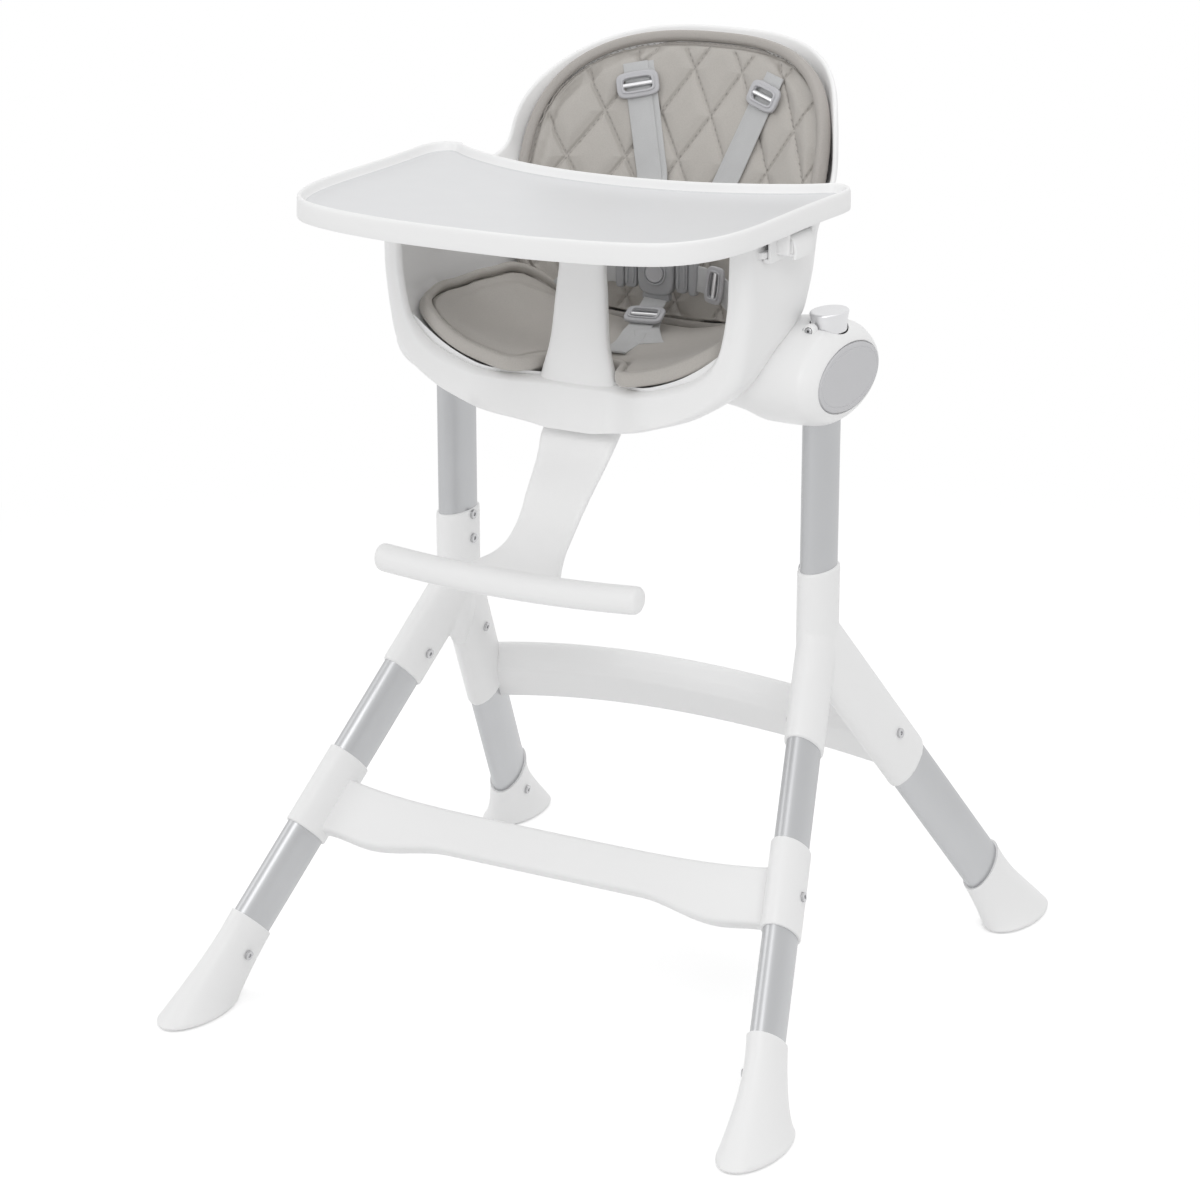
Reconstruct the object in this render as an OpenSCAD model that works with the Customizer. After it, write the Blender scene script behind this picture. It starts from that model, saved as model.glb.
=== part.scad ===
// Baby high chair: a bucket seat with a sliding tray, held by two oval uprights on four splayed legs.
// Millimetres. The chair stands on Z = 0 and faces -Y; X = 0 is its plane of symmetry.
// Pieces are drawn with Y measured from the uprights, and placed() moves them over the footprint's middle.

/* [Seat] */
// Width of the seat shell across the armrests
seat_w = 406; // [380:1:490]
// Height of the underside of the seat shell
seat_base_h = 604; // [560:1:725]
// Thickness of the shell's walls
shell_wall = 5; // [4:0.5:6]
// Height of the armrests above the underside of the shell
armrest_rise = 219; // [210:1:240]
// Height of the backrest above the underside of the shell
back_rise = 346; // [330:1:380]

/* [Frame] */
// Height at which an upright and its two legs meet
junction_h = 387; // [330:1:440]
// Gap between the side of the seat and the centre line of an upright
upright_offset = 6; // [5:1:15]
// Sideways reach of a front foot from the uprights
front_spread = 109; // [90:1:130]
// Forward reach of a front foot from the uprights
front_reach = 345; // [285:1:415]
// Sideways reach of a rear foot from the uprights
rear_spread = 104; // [90:1:125]
// Backward reach of a rear foot from the uprights
rear_reach = 297; // [250:1:350]

/* [Tubes] */
// Narrow width of the oval tubes
tube_w = 30; // [25:1:36]
// Long width of the oval tubes
tube_d = 60; // [52:1:68]
// Wall of the oval tubes
tube_wall = 1.5; // [1.2:0.1:2.5]
// Clearance between a tube and the plastic around it
fit_gap = 0.2; // [0.1:0.05:0.4]
// Wall of the sockets, collars and feet around a tube
socket_wall = 2.5; // [2:0.5:4]

/* [Hubs] */
// Height of a hub from its bottom to its top
hub_h = 102; // [92:1:112]
// Length of a hub from front to back
hub_d = 170; // [150:1:190]
// Diameter of a lever's hinge pin
hinge_pin_d = 5; // [4:0.5:6]
// Diameter of a lock pin
lock_pin_d = 7; // [6:0.5:8]

/* [Tray] */
// How far the tray reaches past each side of the seat
tray_overhang = 34; // [30:1:50]
// Length of the tray from its front edge to its back corners
tray_l = 352; // [330:1:425]
// Height of the tray's outer rim
tray_h = 22; // [20:1:26]

/* [Footrest] */
// Length of the footrest bar
footrest_w = 290; // [240:1:340]
// Height of the footrest bar above the floor
footrest_h = 489; // [470:1:520]
// Forward reach of the footrest bar from the uprights
footrest_reach = 252; // [220:1:290]
// Diameter of the footrest bar
footrest_d = 28; // [22:1:32]

/* [Soft parts] */
// Thickness of the seat pad
pad_t = 24; // [16:1:26]
// Thickness of the backrest pad
back_pad_t = 18; // [12:1:20]
// Width of the harness webbing
webbing_w = 25; // [20:1:28]
// Thickness of the harness webbing
webbing_t = 1.6; // [1.2:0.1:2]

/* [Hidden] */

$fn = 48;
plastic = "white";
tube_colour = "silver";
grey_plastic = [0.66, 0.66, 0.67];
steel = [0.75, 0.75, 0.76];
pad_colour = [0.70, 0.68, 0.65];
webbing_colour = [0.74, 0.75, 0.76];
rubber = [0.25, 0.25, 0.26];

touch = 0.3;               // gap at which a piece rests on another one that moves
seam = 0.1;                // gap between two fixed pieces that are pushed together
oval_sides = 48;

// Frame geometry
post_x = seat_w / 2 + upright_offset;
foot_len = 59;             // half length of a foot's print
foot_wid = 30;             // half width of a foot's print
heel_shift = 4;            // how far a foot's print sits back from the leg's axis
post_y = (front_reach - rear_reach) / 2;
socket_w = tube_w + 2 * (fit_gap + socket_wall);
socket_d = tube_d + 2 * (fit_gap + socket_wall);
collar_rise = 76;          // height of the upright's collar above the junction
tube_inset = 20;           // distance from the junction to the lower end of an upright
leg_inset = 46;            // distance from the junction to the upper end of a leg tube
front_socket_l = 119;
rear_socket_l = 212;
front_leg_l = norm([front_spread, front_reach, junction_h]);
rear_leg_l = norm([rear_spread, rear_reach, junction_h]);
foot_cover = 108;          // length of leg inside and below a front foot's rim
rear_foot_cover = 96;
leg_end = 46;              // distance from the floor, along the leg, to a leg tube's lower end
collar_from = 224;         // crossbar collar, measured along the front leg from the junction
collar_to = 314;
bar_at = 269;              // middle of the front crossbar along the front leg
rear_bar_at = 175;         // middle of the rear crossbar along the rear leg
pad_rubber_t = 1.5;
screw_d = 6;
screw_head_d = 10;
screw_head_h = 2.6;

// Seat geometry
seat_half = seat_w / 2;
floor_rise = 42;           // seat floor above the underside
floor_t = 5;
front_y = -124;            // middle of the front lip
lip_sweep = 31;            // how far the rest of the lip reaches forward of its middle
seat_floor = seat_base_h + floor_rise;
armrest_h = seat_base_h + armrest_rise;
opening_half = seat_half - 18;
hub_z = seat_base_h + 58;
upright_top = hub_z + 22;
lever_y = 50;              // length of a lever's plate
lever_x = 33;              // width of a lever's plate
lever_axis = [post_x - 2, 0, hub_z + hub_h / 2 - 4];
lever_rise = 15;           // top of a lever's plate above its hinge
sleeve_wall = 3;
hub_wall = 3;
well_x = post_x - tube_w / 2 - touch;   // inner face of the well that an upright stands in
lock_end = well_x - 23.7;  // inner end of a lock pin
flange_x = well_x - 9.2;   // inner face of a lock pin's flange
flange_t = 2.3;
guide_x = lock_end - 0.4;  // inner face of the rib that guides a lock pin
guide_t = 3;
tail_x = -1.9 - tube_w / 2;   // inner face of a lever's tail, measured from its hinge

function unit(v) = v / norm(v);
function mix(a, b, t) = a + (b - a) * t;
function ease(t) = t < 0 ? 0 : t > 1 ? 1 : t * t * (3 - 2 * t);
function signed_power(v, p) = sign(v) * pow(abs(v), p);
function side_axis(d) = unit([1, 0, 0] - d * d[0]);
function junction(s) = [s * post_x, 0, junction_h];
function front_dir(s) = unit([s * front_spread, -front_reach, -junction_h]);
function rear_dir(s) = unit([s * rear_spread, rear_reach, -junction_h]);

module placed() translate([0, post_y, 0]) children();

// Local Z runs along d, local X stays as near the chair's X as it can.
module along(start, d) {
    ex = side_axis(d);
    ey = cross(d, ex);
    multmatrix([[ex[0], ey[0], d[0], start[0]], [ex[1], ey[1], d[1], start[1]],
        [ex[2], ey[2], d[2], start[2]], [0, 0, 0, 1]]) children();
}

module oval(w, d) polygon([for (i = [0 : oval_sides - 1])
    [w / 2 * cos(360 * i / oval_sides), d / 2 * sin(360 * i / oval_sides)]]);

module oval_rod(w, d, from, to) translate([0, 0, from]) linear_extrude(to - from) oval(w, d);

// A closed solid through rings of points, each ring anticlockwise about the direction they advance in.
module loft(rings) {
    n = len(rings[0]);
    last = (len(rings) - 1) * n;
    points = [for (ring = rings) each ring];
    sides = [for (k = [0 : len(rings) - 2], i = [0 : n - 1]) each
        let (a = k * n + i, b = k * n + (i + 1) % n)
        [[a, a + n, b + n], [a, b + n, b]]];
    polyhedron(points, concat(sides, [[for (i = [0 : n - 1]) i]], [[for (i = [n - 1 : -1 : 0]) last + i]]));
}

function oval_ring(centre, u, v, n = 36) =
    [for (i = [0 : n - 1]) centre + u * cos(360 * i / n) + v * sin(360 * i / n)];

// A flat strap: a rectangle carried along a path, with its width along the vectors across.
function strap_ring(p, d, across, w, t) = let (a = unit(across - d * (across * d)) * w / 2,
    n = unit(cross(d, a)) * t / 2) [p - a - n, p + a - n, p + a + n, p - a + n];
module strap(path, across, w = webbing_w, t = webbing_t) loft([for (i = [0 : len(path) - 1])
    strap_ring(path[i], unit(path[min(i + 1, len(path) - 1)] - path[max(i - 1, 0)]), across[i], w, t)]);

// Stands children on the stretch of strap from a to b: local X across it, local Y along it, local Z forward.
module on_strap(a, b, across, off) {
    d = unit(b - a);
    ax = unit(across - d * (across * d));
    n = cross(ax, d);
    flip = n[1] < 0 ? 1 : -1;
    c = (a + b) / 2 + n * flip * off;
    multmatrix([[ax[0] * flip, d[0], n[0] * flip, c[0]], [ax[1] * flip, d[1], n[1] * flip, c[1]],
        [ax[2] * flip, d[2], n[2] * flip, c[2]], [0, 0, 0, 1]]) children();
}

// ---- frame ----

module upright(s) color(tube_colour) placed() translate([s * post_x, 0, 0]) difference() {
    oval_rod(tube_w, tube_d, junction_h + tube_inset, upright_top);
    oval_rod(tube_w - 2 * tube_wall, tube_d - 2 * tube_wall, junction_h, upright_top + 1);
    inner_hole(s, seat_base_h - 37, 5.5);
    inner_hole(s, hub_z, lock_pin_d + 1);
    for (z = collar_screw_heights) inner_hole(s, z, screw_d + 0.4);
}

module inner_hole(s, z, d) translate([-s * tube_w / 2, 0, z])
    rotate([0, 90, 0]) cylinder(d = d, h = 4 * tube_wall, center = true);

collar_screw_heights = [junction_h + 45, junction_h + 71];
socket_screw_at = 89;
rear_outer_screw_at = 160;
collar_screw_at = 275;
front_foot_screw = 76;     // distance of a foot's screw from the floor, along the leg
rear_foot_screw = 60;

module leg_bore(from, to) oval_rod(tube_w + 2 * fit_gap, tube_d + 2 * fit_gap, from, to);

module screw_hole(s, t) translate([s * socket_w / 2, 0, t]) rotate([0, 90, 0])
    cylinder(d = screw_d + 0.4, h = 4 * socket_wall, center = true);

module y_joint(s) color(plastic) placed() difference() {
    union() {
        translate([s * post_x, 0, 0]) oval_rod(socket_w, socket_d, junction_h, junction_h + collar_rise);
        along(junction(s), front_dir(s)) oval_rod(socket_w, socket_d, 0, front_socket_l);
        along(junction(s), rear_dir(s)) oval_rod(socket_w, socket_d, 0, rear_socket_l);
        translate([s * post_x, 0, junction_h]) web(socket_w * 0.8);
    }
    translate([s * post_x, 0, 0])
        oval_rod(tube_w + 2 * fit_gap, tube_d + 2 * fit_gap, junction_h + tube_inset - 1,
            junction_h + collar_rise + 1);
    along(junction(s), front_dir(s)) leg_bore(leg_inset - 1, front_socket_l + 1);
    along(junction(s), rear_dir(s)) leg_bore(leg_inset - 1, rear_socket_l + 1);
    for (z = collar_screw_heights) translate([s * post_x, 0, 0]) screw_hole(-s, z);
    along(junction(s), front_dir(s)) screw_hole(-s, socket_screw_at);
    along(junction(s), rear_dir(s)) screw_hole(-s, socket_screw_at);
    along(junction(s), rear_dir(s)) screw_hole(s, rear_outer_screw_at);
}

// The fillet in the fork between the two leg sockets.
module web(w) rotate([90, 0, 90]) linear_extrude(w, center = true)
    polygon(concat([[0, -30]], [for (a = [-50 : 10 : 50]) [12 * sin(a), -70 + 12 * cos(a)]]));

module leg(s, d, length, inner, outer) color(tube_colour) placed() along(junction(s), d) difference() {
    oval_rod(tube_w, tube_d, leg_inset, length - leg_end);
    oval_rod(tube_w - 2 * tube_wall, tube_d - 2 * tube_wall, leg_inset - 1, length);
    for (t = inner) inner_hole(s, t, screw_d + 0.4);
    for (t = outer) inner_hole(-s, t, screw_d + 0.4);
}

module front_leg(s) leg(s, front_dir(s), front_leg_l, [socket_screw_at, front_leg_l - front_foot_screw],
    [collar_screw_at]);
module rear_leg(s) leg(s, rear_dir(s), rear_leg_l, [socket_screw_at, rear_leg_l - rear_foot_screw],
    [rear_outer_screw_at]);

// A foot's skin runs from an oval rim on the leg to a long oval print on the floor.
function foot_ring(t, top, bottom, d, toe) =
    let (ex = side_axis(d), ey = cross(d, ex), flare = pow(t, 2.6), turn = pow(t, 1.6),
        half_w = mix(socket_w / 2, foot_wid, flare), half_d = mix(socket_d / 2, foot_len, flare),
        u = unit(mix(ex, [1, 0, 0], turn)) * half_w,
        v = unit(mix(ey, [0, sign(ey[1]), 0], turn)) * half_d)
    oval_ring(mix(top, bottom, t) + [0, toe * 5 * sin(180 * t), 0], u, v);

module foot(s, d, length, cover, way, screw_at) color(plastic) placed() difference() {
    top = junction(s) + d * (length - cover);
    print = junction(s) + d * length + [0, -way * heel_shift, 0];
    bottom = [print[0], print[1], pad_rubber_t + 3];
    difference() {
        loft(concat([for (k = [0 : 8]) foot_ring(k / 8, top, bottom, d, -way)],
            [oval_ring([print[0], print[1], pad_rubber_t], [foot_wid - 3, 0, 0],
                [0, sign(cross(d, side_axis(d))[1]) * (foot_len - 3), 0])]));
        along(junction(s), d) leg_bore(length - cover - 1, length - leg_end);
    }
    along(junction(s), d) screw_hole(-s, screw_at);
    along(junction(s), d) translate([-s * (socket_w / 2 + 0.5), 0, screw_at]) rotate([0, -s * 90, 0])
        cylinder(d = screw_head_d + 1, h = 12);
}

module front_foot(s) foot(s, front_dir(s), front_leg_l, foot_cover, -1, front_leg_l - front_foot_screw);
module rear_foot(s) foot(s, rear_dir(s), rear_leg_l, rear_foot_cover, 1, rear_leg_l - rear_foot_screw);

module foot_pads() color(rubber) placed()
    for (s = [-1, 1], way = [-1, 1]) {
        print = junction(s) + (way < 0 ? front_dir(s) * front_leg_l : rear_dir(s) * rear_leg_l);
        translate([print[0], print[1] - way * heel_shift, 0])
            linear_extrude(pad_rubber_t - 0.05) oval(2 * (foot_wid - 5), 2 * (foot_len - 6));
    }

module crossbar_collar(s) color(plastic) placed() along(junction(s), front_dir(s)) difference() {
    oval_rod(socket_w, socket_d, collar_from, collar_to);
    leg_bore(collar_from - 1, collar_to + 1);
    screw_hole(s, collar_screw_at);
}

// Local X is the chair's X, local Y runs down the leg's slope and local Z points into the chair.
module on_slope(at, d) {
    slope = unit([0, d[1], d[2]]);
    face = cross([1, 0, 0], slope);
    c = [0, at * d[1], junction_h + at * d[2]];
    multmatrix([[1, 0, 0, 0], [0, slope[1], face[1], c[1]], [0, slope[2], face[2], c[2]], [0, 0, 0, 1]])
        children();
}

bar_t = 20;
bar_face = 4;              // how far the crossbar's face stands forward of the legs' axes
function bar_top(f) = -10 - 15 * pow(abs(f), 4);
function bar_bottom(f) = 34 + 12 * ease((abs(f) - 0.42) / 0.32) - 6 * ease((abs(f) - 0.75) / 0.2);

module front_crossbar() color(plastic) placed() difference() {
    half = post_x + front_dir(1)[0] * bar_at;
    on_slope(bar_at, front_dir(1)) translate([0, 0, -bar_face]) linear_extrude(bar_t) polygon(concat(
            [for (i = [-16 : 16]) [half * i / 16, bar_top(i / 16)]],
            [for (i = [16 : -1 : -16]) [half * i / 16, bar_bottom(i / 16)]]));
    for (s = [-1, 1]) along(junction(s), front_dir(s))
        oval_rod(socket_w + 2 * seam, socket_d + 2 * seam, leg_inset, front_leg_l);
}

// The rear crossbar is an arched beam with a bevelled top.
rear_section = [[24, 0], [24, -28], [-38, -30], [-44, -26], [-44, -20], [-36, -8], [-25, 0]];
rear_arch = 38;
module rear_crossbar() color(plastic) placed() difference() {
    half = post_x + rear_dir(1)[0] * rear_bar_at;
    slope = unit([0, rear_dir(1)[1], rear_dir(1)[2]]);
    forward = -cross([1, 0, 0], slope) * sign(cross([1, 0, 0], slope)[1]);
    middle = [0, rear_bar_at * rear_dir(1)[1], junction_h + rear_bar_at * rear_dir(1)[2]];
    loft([for (k = [-10 : 10]) [for (p = rear_section)
        middle + [half * k / 10, 0, 0] + slope * (p[0] + rear_arch * pow(k / 10, 2)) + forward * p[1]]]);
    for (s = [-1, 1]) along(junction(s), rear_dir(s))
        oval_rod(socket_w + 2 * seam, socket_d + 2 * seam, 0, rear_leg_l);
}

// A button-head screw with its head on the face x = at, pointing to the tube's middle.
module screw(s, at, z) translate([s * at, 0, z]) rotate([0, s * 90, 0]) difference() {
    union() {
        cylinder(d = screw_head_d, h = screw_head_h);
        translate([0, 0, -10]) cylinder(d = screw_d, h = 10.5);
    }
    translate([0, 0, 1]) cylinder(d = 4, h = screw_head_h);
}

module frame_screws() color(steel) placed() for (s = [-1, 1]) {
    face = socket_w / 2 + 0.05;
    for (z = collar_screw_heights) translate([s * post_x, 0, 0]) screw(-s, face, z);
    along(junction(s), front_dir(s)) screw(-s, face, socket_screw_at);
    along(junction(s), rear_dir(s)) screw(-s, face, socket_screw_at);
    along(junction(s), rear_dir(s)) screw(s, face, rear_outer_screw_at);
    along(junction(s), front_dir(s)) screw(s, face, collar_screw_at);
    along(junction(s), front_dir(s)) screw(-s, face + 0.5, front_leg_l - front_foot_screw);
    along(junction(s), rear_dir(s)) screw(-s, face + 0.5, rear_leg_l - rear_foot_screw);
}

// ---- seat shell ----

// Half width at the lip, back of the shell, where the rounding of the sides starts, and its exponent.
function shell_half(z, grow) = max(6, grow + seat_half * lookup(z - seat_base_h,
    [[0, 0.06], [2, 0.128], [8.6, 0.256], [19.6, 0.453], [32, 0.67], [40.6, 0.759], [52.7, 0.847],
        [71.6, 0.931], [95, 0.966], [125, 0.987], [156, 1]]));
function shell_back(z) = lookup(z - seat_base_h,
    [[0, -10], [8, 35], [20, 66], [42, 98], [76, 115], [136, 128], [190, 146], [212, 155], [242, 165],
        [296, 184], [351, 206]]);
function shell_centre(z) = lookup(z - seat_base_h,
    [[0, -128], [70, -128], [89, -120], [103, -90], [119, -80], [189, -80], [237, -50]]);
function shell_power(z) = lookup(z - seat_base_h,
    [[0, 1.8], [40, 1.75], [52, 1.68], [70, 1.68], [89, 1.9], [103, 2], [119, 2.2], [156, 2.3], [189, 2.35],
        [212, 2.6], [237, 2.75], [301, 2.5]]);
function lip_y(x) = front_y - lip_sweep * ease((abs(x) - 0.17 * seat_half) / (0.32 * seat_half));

// A level ring of the shell's surface, moved outwards by grow, with its front edge moved by front.
function shell_ring(z, grow, front, lift = 0) =
    let (half = shell_half(z, grow), c = shell_centre(z), depth = shell_back(z) - c + grow,
        e = 2 / shell_power(z), r = min(14, half * 0.4))
    [for (p = concat(
        [for (i = [0 : 26]) let (a = 180 * i / 26)
            [half * signed_power(cos(a), e), c + depth * pow(sin(a), e)]],
        [[-half, lip_y(half) + front + r], [-half + r * 0.3, lip_y(half) + front + r * 0.3]],
        [for (i = [-6 : 6]) let (x = (half - r) * i / 6) [x, lip_y(x) + front]],
        [[half - r * 0.3, lip_y(half) + front + r * 0.3], [half, lip_y(half) + front + r]]))
        [p[0], p[1], z + lift]];

shell_levels = [0.5, 2, 8.6, 19.6, 32, 40.6, 52.7, 71.6, 89, 103, 119, 156, 189, 212, 237, 268, 301, 351];
module shell_outside(grow) loft([for (h = shell_levels)
    shell_ring(seat_base_h + h, grow, -grow, h < 1 ? -grow : 0)]);

inside_levels = [360, 301, 268, 237, 212, 189, 156, 119, 103, 89, 71.6, 62, 52.7, floor_rise + 4, floor_rise];
module cup() loft(concat([for (h = shell_levels) shell_ring(seat_base_h + h, 0, 0)],
    [for (h = inside_levels) shell_ring(seat_base_h + min(h, 351),
        h == floor_rise ? -shell_wall - 6 : -shell_wall, 10)]));

// The space under the seat floor, in steps that widen upwards: height, width and depth of each.
module shell_hollow() for (step = [[8, 60, 116], [17, 112, 138], [26, 164, 156]])
    translate([0, -48 + step[0] * 0.8, seat_base_h + step[0]])
        linear_extrude(floor_rise - floor_t - step[0]) oval(step[1], step[2]);

// The front view of the rim: level armrests, and the arch of the backrest between them.
arch_half = seat_half - 17;
function arch_z(x) = let (k = min(1, abs(x) / arch_half))
    seat_base_h + back_rise - 136 + 136 * pow(1 - pow(k, 2.95), 1 / 2.95);
module rim_profile() polygon(concat([[-seat_half - 20, armrest_h], [-seat_half - 20, seat_base_h - 40],
    [seat_half + 20, seat_base_h - 40], [seat_half + 20, armrest_h], [arch_half + 6, armrest_h + 1],
    [arch_half + 2, armrest_h + 10]],
    [for (i = [20 : -1 : -20]) let (x = (arch_half - 0.5) * sin(i * 4.5))
        [x, max(armrest_h + 24, arch_z(x))]],
    [[-arch_half - 2, armrest_h + 10], [-arch_half - 6, armrest_h + 1]]));

// The opening in the front wall: a round-cornered U that is open at the top.
module leg_profile() polygon(concat([[opening_half, armrest_h + 30]], [for (i = [0 : 24])
    let (a = -i * 7.5) [opening_half * signed_power(cos(a), 0.62),
        seat_floor + 1 + max(0, 114 * (1 - pow(-sin(a), 0.62)) - 1)]], [[-opening_half, armrest_h + 30]]));

rail_z = armrest_h - 24;   // underside of the tray rail on the outside of an armrest
rail_h = 6;
rail_out = 6;
rail_from = -132;
rail_to = -20;

function wall_x(y) = let (c = shell_centre(rail_z), n = shell_power(rail_z),
    f = max(0, (y - c) / (shell_back(rail_z) - c))) seat_half * pow(1 - pow(f, n), 1 / n);
module tray_rail(s) mirror([s < 0 ? 1 : 0, 0, 0]) translate([0, 0, rail_z]) linear_extrude(rail_h)
    polygon(concat([[seat_half + rail_out, rail_from], [seat_half + rail_out, rail_to]],
        [for (i = [8 : -1 : 0]) let (y = mix(rail_from, rail_to, i / 8)) [wall_x(y) - 2.5, y]]));

module seat_shell() color(plastic) placed() union() {
    difference() {
        intersection() {
            cup();
            translate([0, 260, 0]) rotate([90, 0, 0]) linear_extrude(560) rim_profile();
        }
        shell_hollow();
        translate([0, -85, 0]) rotate([90, 0, 0]) linear_extrude(120) leg_profile();
        translate([-seat_w, -seat_w, armrest_h]) cube([2 * seat_w, seat_w, back_rise]);
        translate([0, -30, seat_base_h - 5]) linear_extrude(30) oval(56, 90);
    }
    for (s = [-1, 1]) tray_rail(s);
}

// ---- hubs and seat locks ----

module sided(s) placed() mirror([s < 0 ? 1 : 0, 0, 0]) children();

// Offset from the upright, height, half length and half height of a hub's section.
hub_rows = [[-119, -26, 60, 8], [-84, -12, 70, 26], [-59, -5, 78, 38], [-34, -0.5, 84, 50.5],
    [-9, 0.5, 86, 51.5], [11, 0, 84, 49], [21, -1, 78, 44], [25, -1.5, 73, 39.5], [28, -2, 69, 35]];
function hub_ring(row, inset) = [for (i = [0 : 35])
    [post_x + row[0], (row[2] * hub_d / 170 - inset) * cos(10 * i),
        hub_z + row[1] + (row[3] * hub_h / 102 - inset) * sin(10 * i)]];
module hub_outside() loft([for (row = hub_rows) hub_ring(row, 0)]);
module hub_hollow() loft([for (i = [0 : 6]) hub_ring(hub_rows[i], hub_wall)]);
module x_oval(d, h, from, to) translate([from, 0, hub_z - 2]) rotate([90, 0, 90])
    linear_extrude(to - from) oval(d, h);
module y_rod(at, d, from, to) translate([at[0], from, at[2]]) rotate([-90, 0, 0])
    cylinder(d = d, h = to - from);
module x_rod(d, from, to) translate([from, 0, hub_z]) rotate([0, 90, 0]) cylinder(d = d, h = to - from);

cap_d = hub_d * 134 / 170;
cap_h = hub_h * 66 / 102;
cap_x = post_x + 25;

module hub(s) color(plastic) difference() {
    sided(s) hub_body();
    placed() shell_outside(touch);
}
module hub_body() difference() {
    union() {
        difference() {
            hub_outside();
            hub_hollow();
        }
        intersection() {
            hub_outside();
            union() {
                translate([post_x, 0, 0]) oval_rod(tube_w + 2 * (touch + sleeve_wall),
                    tube_d + 2 * (touch + sleeve_wall), hub_z - hub_h, upright_top + touch + sleeve_wall);
                translate([guide_x, -25, hub_z - hub_h]) cube([guide_t, 50, hub_h + 26]);
            }
        }
        for (y = [-31, 26.2]) y_rod(lever_axis, 12, y, y + 4.8);
    }
    y_rod(lever_axis, 10, -60, -31.05);
    translate([post_x, 0, 0])
        oval_rod(tube_w + 2 * touch, tube_d + 2 * touch, hub_z - hub_h, upright_top + touch);
    x_rod(lock_pin_d + 0.16, guide_x - 1, post_x);
    translate([post_x - 14, -lever_y / 2 - 1, hub_z + 40]) cube([40, lever_y + 2, 40]);
    y_rod(lever_axis, hinge_pin_d + 0.1, -40, 40);
    x_oval(cap_d + 2 * seam, cap_h + 2 * seam, cap_x - seam, cap_x + 10);
}

module hub_cap(s) color(grey_plastic) sided(s) difference() {
    x_oval(cap_d, cap_h, cap_x, cap_x + 4.5);
    x_oval(cap_d - 24, cap_h - 16, cap_x + 3.9, cap_x + 5);
}

// The release lever: an oval plate over its hinge, and a forked tail that draws the lock pin in.
module release_lever(s) color(steel) sided(s) difference() {
    union() {
        translate(lever_axis + [8, 0, 0]) difference() {
            oval_rod(lever_x, lever_y, 2, lever_rise);
            oval_rod(lever_x - 5, lever_y - 5, 1, lever_rise - 3);
        }
        y_rod(lever_axis, 11, -lever_y / 2 + 1, lever_y / 2 - 1);
        for (y = [-1, 1]) translate(lever_axis + [-4, y * (lever_y / 2 - 5) - 1.5, 0])
            cube([14, 3, lever_rise - 1]);
        translate(lever_axis) rotate([90, 0, 0]) linear_extrude(16, center = true)
            polygon([[-2, -5], [-14, -14], [tail_x, -21], [tail_x, -52], [tail_x - 3, -52], [tail_x - 3, -21],
                [tail_x - 0.6, -12], [-5, 2]]);
    }
    y_rod(lever_axis, hinge_pin_d + 0.16, -40, 40);
    translate([well_x - 12, -lock_pin_d / 2 - 0.7, hub_z - 20]) cube([12, lock_pin_d + 1.4, 27]);
}

module lever_pins() color(steel) for (s = [-1, 1]) sided(s) {
    y_rod(lever_axis, hinge_pin_d, -31, 31);
    difference() {
        y_rod(lever_axis, 9, -34, -31.1);
        y_rod(lever_axis, 4, -35, -32.4);
    }
    y_rod(lever_axis, hinge_pin_d, -31.5, -30.5);
}

module lock_pin(s) color(steel) sided(s) {
    x_rod(lock_pin_d, lock_end, well_x);
    x_rod(13, flange_x, flange_x + flange_t);
}

// A coil from one height to another: a round wire swept along a helix about local Z.
module coil(d, wire, h, turns) loft([for (i = [0 : 12 * turns])
    let (a = 30 * i, up = (h - wire) / (12 * turns), lean = atan(up * 12 / (PI * d)),
        c = [d / 2 * cos(a), d / 2 * sin(a), wire / 2 + up * i],
        out = [cos(a), sin(a), 0], n = [sin(lean) * sin(a), -sin(lean) * cos(a), cos(lean)])
    oval_ring(c, out * wire / 2, -n * wire / 2, 6)]);

module lock_spring(s) color(steel) sided(s) translate([guide_x + guide_t + 0.1, 0, hub_z]) rotate([0, 90, 0])
    coil(lock_pin_d + 2.2, 1.2, flange_x - guide_x - guide_t - 0.2, 4);

// ---- crotch post and footrest ----

function rounded_ring(c, half_w, v, n = 3) = [for (i = [0 : 31]) let (a = 11.25 * i)
    c + [half_w * signed_power(cos(a), 2 / n), 0, 0] + v * signed_power(sin(a), 2 / n)];

post_t = 16;               // thickness of the crotch post
module crotch_post() color(plastic) placed() {
    base = seat_floor + 1.1;
    rise = armrest_h + 0.5 - base;
    loft([for (r = [[0, 46], [0.04, 42], [0.1, 39], [0.2, 34], [0.3, 31], [0.5, 28], [0.68, 25], [0.92, 24],
        [0.985, 22.5], [1, 20]])
        rounded_ring([0, front_y + 3 + post_t / 2 + 13 * r[0], base + r[0] * rise], r[1],
            [0, post_t / 2, 0])]);
}

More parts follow.
